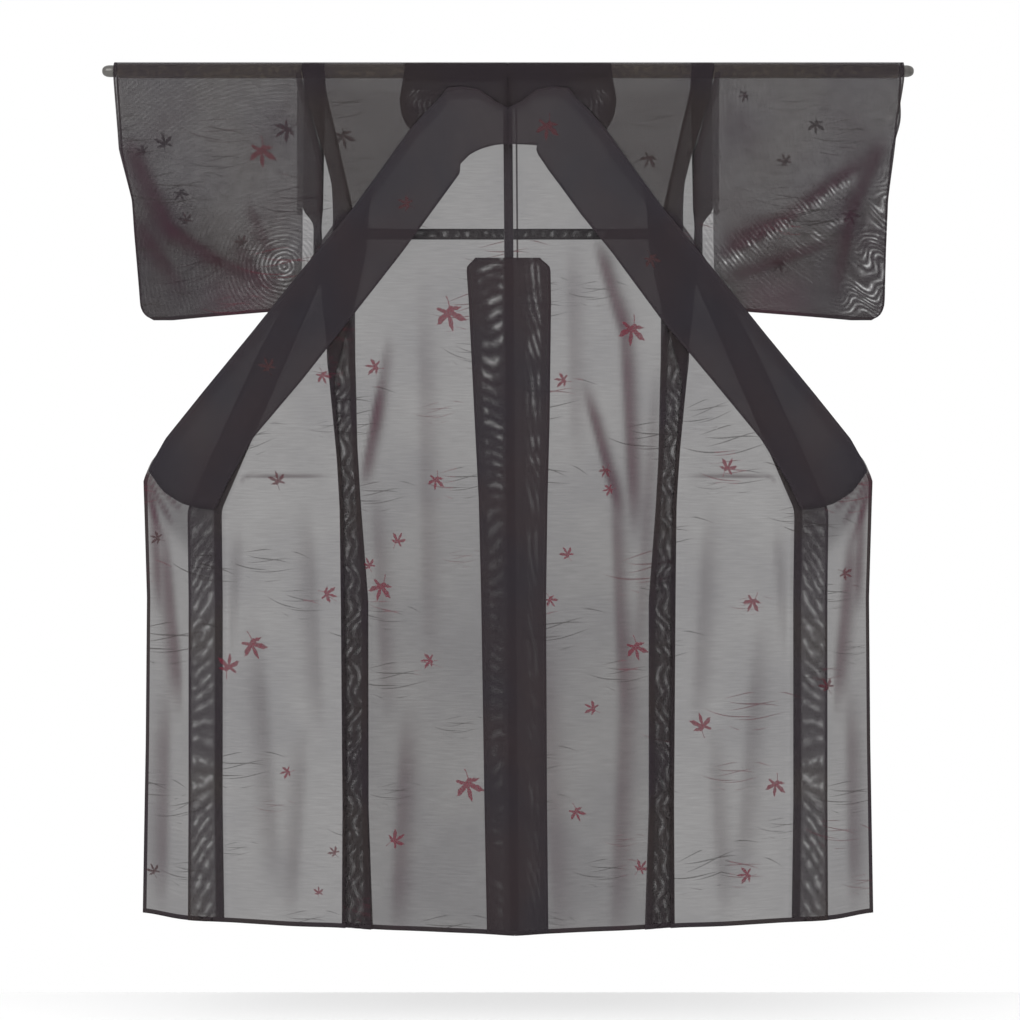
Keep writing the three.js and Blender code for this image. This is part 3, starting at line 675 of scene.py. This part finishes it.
def okumi(hand, sign):
    """Rows from the seam to the front edge; its outer 7 mm are a narrow hem."""
    z = heights(-262, FALL, ROW_STEP)
    seam = read(FRONT, z, "seam", 8) + 0.4
    edge = read(OKUMI_EDGE, z, "d", 3) - 0.4
    share = np.concatenate([[0, 0.1, 0.105], np.linspace(0.14, 0.93, 26), [0.955, 0.957, 1.0]])
    d = columns(seam, edge, share)
    zz = z[:, None] + 0 * d
    loose = smooth(-zz, 620, 760) * smooth(share[None], 0.3, 0.8)
    wave = 1.2 * np.sin(d / 19 + 0.6 * np.sin(zz / 120)) * loose
    creases = ridges(OKUMI_FOLDS, d, zz) * smooth(d, seam[:, None] + 64, seam[:, None] + 76)
    y = read(FRONT, z, "lapel")[:, None] + LAYER + wave - 0.5 * creases
    hem = 2.8 * (share[None] > 0.956) * smooth(-zz, 700, 720)
    # Painted shade: folds, the lower cloth and a triangle below the collar's end, narrowing downwards, are
    # darker.
    extra = near_hem(zz) + hem + 1.2 * (share[None] < 0.102) + FOLD_SHADE * creases + 0.3 * lower_dusk(zz)
    extra += 0.35 * (1 - smooth(d - 0.9 * zz, 1290, 1340)) * smooth(-zz, 640, 700)
    whole = patch(np.stack([sign * d, y, bent(zz, d)], -1), extra, shade_tint=fold_shade_tint(creases))
    return sheet(f"okumi_cloth_{hand}", f"okumi_{hand}", [whole],
                 material=figured)


okumis = [okumi(hand, sign) for hand, sign in SIDES]

# %% [markdown]
# ## The collar band
# The collar is a straight band, folded double along its outer edge. It runs from behind the neck down the
# slope of each front and ends in a slanted edge. It is one sheet that lets through what two layers would,
# with a third layer near the seam, where the allowances of neck and okumi are tucked inside.

# %% Each half of the collar
COLLAR = table("row sewn_d sewn_z left_d left_z right_d right_z", [
    [0, 0, -66.5, 0, -130, 0, -130], [0.25, 21, -56.5, 22, -131, 22, -132],
    [0.55, 50, -35, 44, -132, 45, -138], [0.75, 68, -32, 51, -133, 58, -144],
    [0.85, 80, -30, 49, -140, 67, -149], [1.1, 106, -32.5, 53, -150, 83, -165],
    [1.2, 118, -48, 60, -160, 84, -181], [1.35, 140, -70, 72, -178, 88, -187],
    [1.8, 174, -108, 93, -206, 101, -205], [2.4, 220, -172, 128, -254, 131, -246],
    [3.3, 274, -246, 182, -320, 184, -318], [4.7, 365, -355, 268, -436, 275, -434],
    [6.1, 451, -462, 358, -543, 361, -543], [7.5, 535, -564, 443, -646, 445, -642],
    [8.5, 600, -645, 492, -724, 492, -724], [9.1, 631, -700, 514, -770, 514, -770]])
COLLAR_END = table("t d z", [
    [0, 631, -700], [0.25, 604, -738], [0.5, 571, -759], [0.75, 541, -767], [1, 514, -770]])


def collar(hand, sign):
    """Rows across the band, straight from the sewn to the free edge; the last row follows the slanted end."""
    row = np.concatenate([np.linspace(0, 2.4, 60), np.linspace(2.45, 9.0, 90)])
    t = np.concatenate([[0, 0.02], np.linspace(0.05, 0.95, 14), [0.975, 1.0]])
    edge = {key: np.interp(row, COLLAR["row"], values)[:, None] for key, values in COLLAR.items()}
    end_d, end_z = (read(COLLAR_END, t, k, 0.04) for k in ("d", "z"))
    d = np.vstack([mix(edge["sewn_d"], edge[f"{hand}_d"], t), end_d])
    z = np.vstack([mix(edge["sewn_z"], edge[f"{hand}_z"], t), end_z])
    lapel = read(FRONT, np.minimum(z, -12), "lapel", 12)
    bulge = 1.0 * np.sin(np.pi * t) + 0.8 * np.sin(z / 37 + t * 3) * np.sin(np.pi * t)
    y = lapel - 3.2 - bulge
    extra = 1.05 + 0.25 * smooth(-z, 170, 380) + 0.9 * (1 - smooth(t, 0.1, 0.2))
    extra += 1.3 * smooth(t, 0.95, 0.975) + 1.5 * (t < 0.03)
    extra += 0.3 * smooth(t, 0.5, 0.55) * (1 - smooth(t, 0.6, 0.8)) * smooth(-z, 150, 400)
    whole = patch(np.stack([sign * (d + MIDDLE_GAP), y, z], -1), extra, 0.1, z / 7)
    return sheet(f"collar_band_{hand}", f"collar_{hand}", [whole],
                 material=collar_cloth)


collars = [collar(hand, sign) for hand, sign in SIDES]

# %% [markdown]
# ## The sleeves
# A sleeve is one cloth folded over the rod. Its walls are sewn together along the foot and below the cuff
# opening, and the body side stays open, as the armhole and the slit under it. The weight of the cloth pulls
# soft slanting folds from the cuff to the foot of the armhole.

# %% Edges and folds of the sleeves
CUFF = table("z right left", [
    [14, 690, 693], [-16, 690, 693], [-139, 681, 677], [-226, 660, 667], [-314, 653, 663], [-400, 646, 661],
    [-412, 645, 660], [-421, 642, 657], [-428, 637, 653], [-434, 629, 645], [-437, 619, 635]])
SLEEVE_INNER = table("z front back", [
    [-12, 362, 363], [-86, 344, 363], [-147, 328, 363], [-230, 326, 363], [-300, 330, 363], [-345, 338, 364],
    [-372, 356, 364], [-437, 364, 367]])
SLEEVE_FOLDS = {
    "right": table("x1 z1 x2 z2 height width", [
        [660, -130, 590, -282, 6, 24], [596, -272, 512, -330, 7, 20], [520, -326, 388, -384, 6, 16],
        [648, -268, 562, -396, 5, 20], [470, -312, 400, -410, 4, 14], [455, -230, 410, -330, 3, 12]]),
    "left": table("x1 z1 x2 z2 height width", [
        [374, -326, 500, -256, 8, 16], [490, -262, 616, -165, 7, 16], [374, -372, 560, -304, 6, 14],
        [575, -400, 606, -240, 5, 16], [604, -250, 656, -130, 5, 18], [374, -300, 470, -262, 3, 16]]),
}
RINGS = {"right": (393, -342), "left": (720, -60)}
SLEEVE_TOP, FOOT_INNER, FOOT_OUTER, FOOT_HALF_GAP = 360.8, -418.0, -437.0, 1.8
print("sleeve folds:", {hand: len(folds["z1"]) for hand, folds in SLEEVE_FOLDS.items()})

# %% Each sleeve
def half_gap(t, v):
    """Half the distance between the walls: it closes towards the foot, and at the cuff below its opening."""
    closing = smooth(v, 0.28, 0.53) * smooth(t, 0.55, 1)
    narrowing = (1 - smooth(v, -0.1, 1)) / float(1 - smooth(0, -0.1, 1))
    return FOOT_HALF_GAP + (BODY_RADIUS - FOOT_HALF_GAP) * narrowing * (1 - closing)


def sleeve_beats(name, d, z):
    """Rings of ripples round a centre, strong near the body; on the left sleeve, bands along its folds."""
    from_centre = np.hypot(d - RINGS[name][0], z - RINGS[name][1])
    turns = from_centre / 7.5
    if name == "right":
        return 0.2 + 0.5 * np.exp(-(from_centre / 62) ** 2) * smooth(d, 366, 376), turns
    beside_fold = sum(np.exp(-((-0.547 * d + 0.837 * z + far) / wide) ** 2) * smooth(d, start, start + 60)
                      for far, wide, start in ((488, 11, 340), (540, 9, 470)))
    corner = smooth(d - 0.3 * z, 690, 735) * smooth(-z, 165, 230)
    knotted = z / 13 + 0.9 * np.sin(d / 11 + z / 31) + 0.7 * np.sin(z / 16) + 0.5 * np.sin((d + z) / 9)
    turns = mix(turns, knotted, smooth(d - 0.3 * z, 660, 690))
    return 0.2 + 0.75 * beside_fold * (1 - smooth(d, 590, 625)) + 0.6 * corner, turns


def sleeve(hand, sign):
    """Foot, back wall, over the rod, front wall, foot: rows by the share v of the drop, columns by t."""
    t = np.concatenate([[0, 0.032, 0.034], np.linspace(0.05, 0.975, 60), [0.988, 0.990, 1.0]])[None, :]
    v = np.concatenate([np.linspace(0.03, 0.94, 74), [0.953, 0.966, 0.977, 0.986, 0.988, 0.994, 1.0]])
    v = v[:, None]
    z = v * mix(FOOT_INNER, FOOT_OUTER, np.minimum(1, t * 1.15))

    def wall(face):
        inner = read(SLEEVE_INNER, z, face, 6)
        if face == "front":
            inner = np.maximum(inner - 2, read(FRONT, z, "side", 8) + 0.8)
        else:
            inner -= 2.2
        d = mix(inner, read(CUFF, z, hand, 3), t)
        d = d + (7 if face == "back" else -2) * (sign > 0) * t ** 8 * np.exp(-((z + 84) / 34) ** 2)
        held = smooth(v, 0, 0.25) * (1 - smooth(v, 0.72, 1)) * smooth(t, 0, 0.15)
        drag = ridges(SLEEVE_FOLDS[hand], d, z) + 1.0 * np.sin(d / 31 + z / 47) * np.sin(z / 60)
        y = (-1 if face == "front" else 1) * half_gap(t, v) - drag * held
        # Painted shade: darker along the drag folds and over the lower part of the sleeve towards the body.
        shade = 0.085 * np.clip(drag, 0, 8) * held
        shade += 0.28 * smooth(v - 0.35 * (1 - t), 0.32, 0.62)
        hems = 1.5 * (t > 0.989) + 1.5 * (v > 0.987) + 0.7 * (t < 0.033) * (v < 0.6)
        ripple, turns = sleeve_beats(hand, d, z)
        # Painted shade tint: a red patch of painted shade at the sleeve's foot, near the body.
        red_shade_at_foot = smooth(-z, 330, 400) * smooth(d, 380, 450) * (1 - smooth(d, 480, 560))
        shade_tint = fold_shade_tint(drag * held) * 0.5 + 0.3 * red_shade_at_foot
        return patch(np.stack([sign * d, y, z + 0 * d], -1), hems + shade, ripple, turns, shade_tint)

    back, front = wall("back"), wall("front")
    d = mix(SLEEVE_TOP, read(CUFF, 0.0, hand), t)
    crown = patch(over_rod(sign * d, BODY_RADIUS), 1.5 * (t > 0.989))
    whole = stacked([some_rows(back, slice(None, None, -1)), crown, front])
    return sheet(f"sleeve_cloth_{hand}", f"sleeve_{hand}", [whole],
                 material=figured)


sleeves = [sleeve(hand, sign) for hand, sign in SIDES]

# %% [markdown]
# ## The lining of the shoulders
# A piece of lining lies inside, between the rod and the panels. It goes over the rod, follows the neck seam,
# and hangs down on each side of the neck in a rounded lobe. It is three grids in one mesh: the part over the
# rod and down to the neck, and the two lobes.

# %% The shoulder lining
LINING_RADIUS, LINING_TOP, LINING_FOOT, LINING_BACK = 13.5, 181.0, 187.0, -16.0
NECK_SHARE = 0.58
LINING_LOBE = table("z d", [[-12, 181], [-35, 187], [-53, 190], [-80, 186], [-98, 177], [-104, 172]])


def shoulder_lining():
    """Rows over the rod from back to front, straight rows to the neck seam, lobes from its corners down."""
    t = np.linspace(-1, 1, 61)
    over = over_rod(LINING_TOP * t[None, :], LINING_RADIUS)
    low = over[0].copy()
    low[:, 2] = LINING_BACK
    inner = np.abs(t) <= NECK_SHARE
    outer_d = mix(NECK_HALF, LINING_FOOT, (np.abs(t) - NECK_SHARE) / (1 - NECK_SHARE))
    share = np.clip(np.abs(t) / NECK_SHARE, 0, 1)
    foot_d = np.where(inner, read(NECK, share, "d", 0.04), outer_d)
    foot_z = np.where(inner, read(NECK, share, "z", 0.04) + 1, NECK_CORNER)
    foot = np.stack([np.sign(t) * foot_d, np.full_like(t, -15 + LAYER), foot_z], -1)
    fall = mix(over[-1][None], foot[None], np.linspace(0, 1, 8)[1:, None, None])
    patches = [patch(np.concatenate([low[None], over, fall]), 0.9, 0.1, 0.0, origin=30)]
    z = np.linspace(NECK_CORNER, -103, 22)[:, None]
    u = np.linspace(0, 1, 14)[None, :]
    for sign in (1, -1):
        start = read(FRONT, z, "seam", 8) - np.where(z < -36, 2, 0)
        d = mix(np.where(z > -36, NECK_HALF, start), read(LINING_LOBE, z, "d", 4), u)
        y = read(FRONT, z, "y") + LAYER - billow(z, 0.1) * 0.3
        flecks, turns = 0.85 * (1 - smooth(u, 0.8, 0.9)), (d + 0.4 * z) / 9 + 0.5 * np.sin(z / 7)
        points = np.stack([sign * d, y + 0 * d, z + 0 * d], -1)
        patches.append(patch(points, 1.35 + 1.0 * (u > 0.93), flecks, turns))
    return sheet("shoulder_lining_cloth", "shoulder_lining", patches, material=lining)


shoulder_lining()

# %% [markdown]
# ## What lies on the inside of the back
# The middle seam is bound with a narrow tape. From the waist to the hem a strip of lining lies over it, where
# the cloth is stretched in sitting. Across the back at the waist runs a small tuck, which shortens the back.
# All are the surface of the back, moved towards the viewer.

# %% Strips on the back
LIFT = 1.55
SEAT = table("z right left", [
    [-326, -57, 54], [-342, -74, 74], [-402, -70, 75], [-612, -60, 72], [-753, -53, 68], [-928, -49, 65],
    [-1279, -44, 66], [-1500, -40, 68]])


def strip(name, node, z, left, right, lift, material, edge=0.0, count=14, base=0.0, beat=None):
    """A strip between two edges given in X at heights z, lifted off the back; it ends 2 mm above the hem."""
    t = np.concatenate([[0, 0.03, 0.035], np.linspace(0.08, 0.92, count), [0.965, 0.97, 1.0]])[None, :]
    x = mix(left[:, None], right[:, None], t)
    zz = z[:, None] + 0 * x
    extra = base + edge * ((t < 0.033) | (t > 0.967)) + near_hem(zz) * 0.5
    ripple, turns = beat(x, zz, t) if beat else (0.0, 0.0)
    points = np.stack([x, back_y(x, zz) - lift, bent(zz, np.abs(x)) + 2 * (zz <= FALL)], -1)
    return sheet(name, node, [patch(points, extra, ripple, turns)], material=material)


def seat_beats(x, z, t):
    """Level bands on the wearer's right half, slanting streaks on the left one, dark edges round both."""
    inside = smooth(t, 0.1, 0.15) * (1 - smooth(t, 0.86, 0.9))
    level = (x < 16) * (1 - smooth(x, -10, -6))
    slant = (x >= 16) * smooth(x, 26, 40) * 0.8
    turns = np.where(x < 16, z / 22 + 0.3 * np.sin(x / 11 + z / 60) + 0.5 * np.sin(z / 53),
                     x / 12 + z / 55 + 0.5 * np.sin(z / 37))
    return inside * (0.9 * level + slant) * (1 - 0.45 * smooth(-z, 560, 900)), turns


def tuck_beats(x, z, t):
    """Flecks along the middle of the tuck."""
    return 0.75 * smooth(-z, 278, 281) * (1 - smooth(-z, 288, 291)), x / 17 + 0.6 * np.sin(x / 41)


z = heights(-16, FALL, ROW_STEP)
strip("centre_binding_tape", "centre_seam_binding", z, -9 + drift(z), 7 + drift(z), LIFT,
      material=lining, count=6, base=1.4)
z = np.concatenate([np.linspace(-326, -342, 4), heights(-350, FALL, ROW_STEP)])
right, left = (read(SEAT, z, hand, 4) + drift(z) / 4 for hand in ("right", "left"))
strip("seat_strip_cloth", "seat_lining", z, right, left, 2 * LIFT, material=lining,
      edge=1.6, count=30, base=1.6, beat=seat_beats)
z = np.linspace(-275, -294, 12)
for hand, sign in SIDES:
    near = drift(-275.0) + (7.2 if sign > 0 else -9.2)
    far = sign * (276 if sign > 0 else 295)
    strip(f"waist_tuck_cloth_{hand}", f"waist_tuck_{hand}", z, near + 0 * z, far + 0 * z, LIFT,
          material=plain, count=60, base=1.6, beat=tuck_beats)

# %% [markdown]
# ## Leaves and reeds
# The leaves are scattered, so they are a table: where each one is, how long its middle lobe is, which way it
# points, how dark its dye is, and whether it is on the front or the back. The reeds fill the ground between
# them and are placed by a seeded generator. Faces near a motif get coordinates that start at its centre; all
# others lie far outside it.

# %% The scattered leaves
LEAVES = table("x z size turn dark front", [
    [-103, -421, 36, 188, 0, 0], [-233, -519, 20, 80, 0, 0], [-325, -533, 18, 200, 0, 1],
    [-404, -720, 20, 10, 0.5, 1], [-126, -716, 20, 170, 0, 0], [-195, -825, 18, 330, 0, 0],
    [-222, -904, 28, 160, 0, 0], [-244, -868, 16, 20, 0, 0], [-318, -916, 20, 250, 0, 1],
    [-448, -1004, 30, 200, 0, 1], [-491, -1046, 26, 350, 0, 1], [-137, -1035, 18, 90, 0, 0],
    [-386, -1229, 15, 100, 0, 1], [-304, -1371, 14, 40, 0.4, 1], [-200, -1351, 22, 300, 0, 0],
    [-332, -1441, 12, 0, 0, 1], [-70, -1251, 34, 190, 0, 0], [-621, -1404, 16, 20, 0.8, 1],
    [-614, -820, 16, 70, 0.8, 1], [219, -451, 32, 170, 0, 0], [98, -542, 18, 80, 0, 0],
    [172, -700, 15, 150, 0.3, 0], [105, -849, 17, 30, 0, 0], [74, -927, 16, 210, 0, 0],
    [384, -697, 21, 330, 0, 1], [179, -734, 14, 100, 0, 0], [225, -1010, 26, 190, 0, 0],
    [150, -1120, 18, 60, 0, 0], [430, -930, 22, 150, 0, 1], [340, -1150, 26, 10, 0, 1],
    [120, -1300, 20, 200, 0, 0], [470, -1250, 24, 170, 0, 1], [232, -1400, 18, 320, 0, 0],
    [560, -1080, 18, 30, 0.5, 1], [590, -880, 16, 240, 0.5, 1], [420, -1410, 20, 90, 0, 1],
    [-290, -110, 26, 190, 0.2, 0], [250, -150, 22, 150, 0.2, 0], [-430, -140, 32, 180, 0.5, 1],
    [-388, -100, 26, 120, 0, 0], [-605, -126, 22, 10, 1, 0], [-641, -139, 16, 70, 1, 0],
    [-576, -212, 18, 200, 1, 0], [-565, -262, 17, 20, 0.2, 0], [-509, -332, 18, 160, 0.6, 0],
    [-467, -300, 16, 30, 0.2, 0], [542, -90, 21, 180, 1, 0], [488, -158, 18, 20, 0.5, 0],
    [477, -337, 18, 140, 0.6, 0], [418, -40, 15, 100, 0.5, 0], [600, -250, 22, 200, 0.4, 0]])


def scattered_reeds():
    """Groups of reeds on a jittered lattice, most nearly level; none lie high on the middle of the back."""
    rng = np.random.default_rng(11)
    x, z = np.meshgrid(np.arange(-640, 660, 136.0), np.arange(-90, -1500, -70.0))
    jitter = rng.uniform(-1, 1, (6, *x.shape))
    jitter[3] = jitter[3] ** 3 * 2
    x, z = x + 60 * jitter[0], z + 28 * jitter[1]
    kept = (np.abs(x) > 165) | (z < -315)
    columns = {"x": x, "z": z, "size": 60 + 30 * jitter[2], "turn": 10 * jitter[3],
               "dark": np.where(jitter[4] > 0.72, 0.3, 1.0), "front": 1.0 * (jitter[5] > 0)}
    return {name: values[kept] for name, values in columns.items()}


REEDS = scattered_reeds()
COLLAR_LEAVES = table("x z size turn dark front", [
    [70, -98, 28, 170, 0.62, 1], [-176, -236, 19, 60, 0.7, 1], [250, -330, 20, 200, 0.8, 1],
    [-420, -520, 20, 20, 0.8, 1]])
NO_REEDS = {name: [] for name in REEDS}

# %% Give the faces near a motif their coordinates
FAR_AWAY, MARGIN = 9.0, 12.0


def weave_in(piece, name, motif, squash):
    """UVs of the nearest motif: offset from its centre, turned, divided by its size, and across by squash."""
    mesh = piece.data
    faces, corners = len(mesh.polygons), len(mesh.loops)
    points, cloth = np.empty(len(mesh.vertices) * 3), np.empty(corners * 2)
    mesh.vertices.foreach_get("co", points)
    mesh.uv_layers["cloth"].data.foreach_get("uv", cloth)
    points = points.reshape(-1, 3) / MM
    first, count, owner = (np.empty(n, np.int32) for n in (faces, faces, corners))
    mesh.polygons.foreach_get("loop_start", first)
    mesh.polygons.foreach_get("loop_total", count)
    mesh.loops.foreach_get("vertex_index", owner)
    face_of = np.repeat(np.arange(faces), count)
    run = cloth.reshape(-1, 2)[first, 1]
    front = run > run.max() / 2 if piece in (*panels, *sleeves) else np.full(faces, True)
    middle = np.stack([np.bincount(face_of, points[owner, k]) / count for k in (0, 2)], -1)
    flat = points[owner][:, [0, 2]]
    uv, best, dark = np.full((corners, 2), FAR_AWAY), np.full(faces, np.inf), np.full(faces, np.nan)
    for x, z, size, angle, dye, on_front in zip(*motif.values()):
        a = math.radians(angle)
        spin = np.array([[math.cos(a), -math.sin(a)], [math.sin(a), math.cos(a)]])
        scale = np.array([size, size * squash])
        away = np.abs((middle - (x, z)) @ spin / scale).max(axis=1)
        take = (away < 1.0 + MARGIN / size / squash) & (away < best) & (front == (on_front > 0.5))
        best[take], dark[take] = away[take], dye
        mine = take[face_of]
        uv[mine] = ((flat - (x, z)) @ spin / scale)[mine]
    mesh.uv_layers.new(name=name).data.foreach_set("uv", uv.astype(np.float32).ravel())
    return dark


for piece in (*panels, *okumis, *sleeves, *collars):
    dark_leaf = weave_in(piece, "leaf", COLLAR_LEAVES if piece in collars else LEAVES, 1.0)
    dark_reed = weave_in(piece, "reed", NO_REEDS if piece in collars else REEDS, 0.42)
    dark = np.nan_to_num(np.where(np.isnan(dark_leaf), dark_reed, dark_leaf))
    dye = piece.data.attributes.new("dye", "FLOAT", "FACE")
    dye.data.foreach_set("value", dark.astype(np.float32))
    print(piece.name, "motifs woven in")

# %% [markdown]
# ## The rod
# The rod is a round bar of dark mottled lacquer with a rounded metal cap on each end. A bar like this is a
# profile turned round its axis, so each piece is one grid of radius by angle, closed at both ends.

# %% Lacquer and cap metal
WEAR = 90.0


def hard_material(name, colour, roughness, metallic, spots, spot_colour):
    """A Principled surface with soft spots of a second colour and a slightly uneven polish."""
    material, tree, shader = principled(name, {"Metallic": metallic})
    place = tree.nodes.new("ShaderNodeTexCoord")
    mottle = band(noise(tree, place.outputs["Object"], spots, detail=4.0), 0.45, 0.7)
    tree.links.new(blend(mottle, colour, spot_colour), shader.inputs["Base Color"])
    polish = noise(tree, place.outputs["Object"], WEAR) * 0.12 + (roughness - 0.06)
    tree.links.new(polish.socket, shader.inputs["Roughness"])
    return material


lacquer = hard_material("mottled_lacquer", (0.24, 0.212, 0.19), 0.3, 0.0, 120.0, (0.40, 0.34, 0.265))
cap_metal = hard_material("cap_metal", (0.15, 0.145, 0.138), 0.25, 1.0, 60.0, (0.10, 0.095, 0.09))

# %% Turned pieces
def turned(name, node, x, radius, material):
    """A profile turned round the X axis: radius at each x, with a ring of 72 points, closed at both ends."""
    a = np.linspace(0, 2 * np.pi, 73)[None, :]
    x, radius = np.asarray(x, float)[:, None], np.asarray(radius, float)[:, None]
    points = np.stack([x + 0 * a, radius * np.cos(a), radius * np.sin(a)], -1)
    mesh = grid_mesh(name, [patch(points)])
    clean(mesh, merge=1e-6, sliver=1e-7)
    return stand_in(name, mesh, node, material)

# %% The rod and its caps
ROD_LENGTH, CAP_LENGTH, ROD_RADIUS, CAP_RADIUS = 1424.0, 28.0, 12.3, 10.4
CORE = ROD_LENGTH / 2 - CAP_LENGTH
end = np.array([0.2, 0.2, 0.6])
turned("rod_bar", "rod", [*(end - CORE), *np.linspace(2 - CORE, CORE - 2, 40), *(CORE - end[::-1])],
       [0, 11.8, *np.full(42, ROD_RADIUS), 11.8, 0], lacquer)
CAP = table("x radius", [
    [0, 0], [0, 9.9], [0.5, 10.4], [2.6, 10.4], [2.9, 10], [3.4, 10], [3.8, 10.3], [12, 10.4]])
half = CAP_LENGTH / 2
for hand, sign in SIDES:
    a = np.linspace(0, np.pi / 2, 16)
    x = np.append(CAP["x"], half + half * np.sin(a))
    radius = np.append(CAP["radius"], CAP_RADIUS * np.cos(a) ** 0.7)
    turned(f"rod_end_{hand}", f"rod_cap_{hand}", sign * (CORE + x), radius, cap_metal)

# %% [markdown]
# ## Floor, light and camera
# The kimono was photographed against white, square on and from far away. A white world lights it evenly from
# both sides, so that the layers alone make it darker, and a large soft lamp adds a little shape to the rod.

# %% Floor and world
bpy.ops.mesh.primitive_plane_add(size=1)
floor = bpy.context.object
floor.name = "floor"
floor.data.transform(Matrix.Diagonal((9, 6, 1, 1)))
floor.location = (0, -2.7, -1.68)
pale, _, _ = principled("pale_floor", {"Base Color": (0.97, 0.97, 0.97, 1), "Roughness": 0.9})
floor.data.materials.append(pale)

scene = bpy.context.scene
world = bpy.data.worlds.new("white studio")
world.use_nodes = True
world.node_tree.nodes["Background"].inputs["Color"].default_value = (1, 1, 1, 1)
world.node_tree.nodes["Background"].inputs["Strength"].default_value = 1.0
scene.world = world
scene.view_settings.view_transform = "Standard"
scene.cycles.transparent_max_bounces = 64
print("floor at Z =", round(floor.location.z, 2), "m, world:", world.name)

# %% Lamp and camera
def put(data, location, degrees):
    """An object of its own for a lamp or a camera, with its place in metres and its turn in degrees."""
    thing = bpy.data.objects.new(data.name, data)
    thing.location, thing.rotation_euler = location, [math.radians(angle) for angle in degrees]
    scene.collection.objects.link(thing)
    return thing


soft_lamp = bpy.data.lights.new("soft lamp", "AREA")
soft_lamp.size, soft_lamp.energy = 2.0, 18
put(soft_lamp, (-1.6, -2.6, 1.0), (62, 0, -30))
far_lens = bpy.data.cameras.new("camera")
far_lens.sensor_width, far_lens.lens = 36, 80.45
scene.camera = put(far_lens, (0.0035, -4, -0.77), (90, 0, 0))
print("camera", tuple(scene.camera.location), "lens", round(far_lens.lens, 2), "mm")
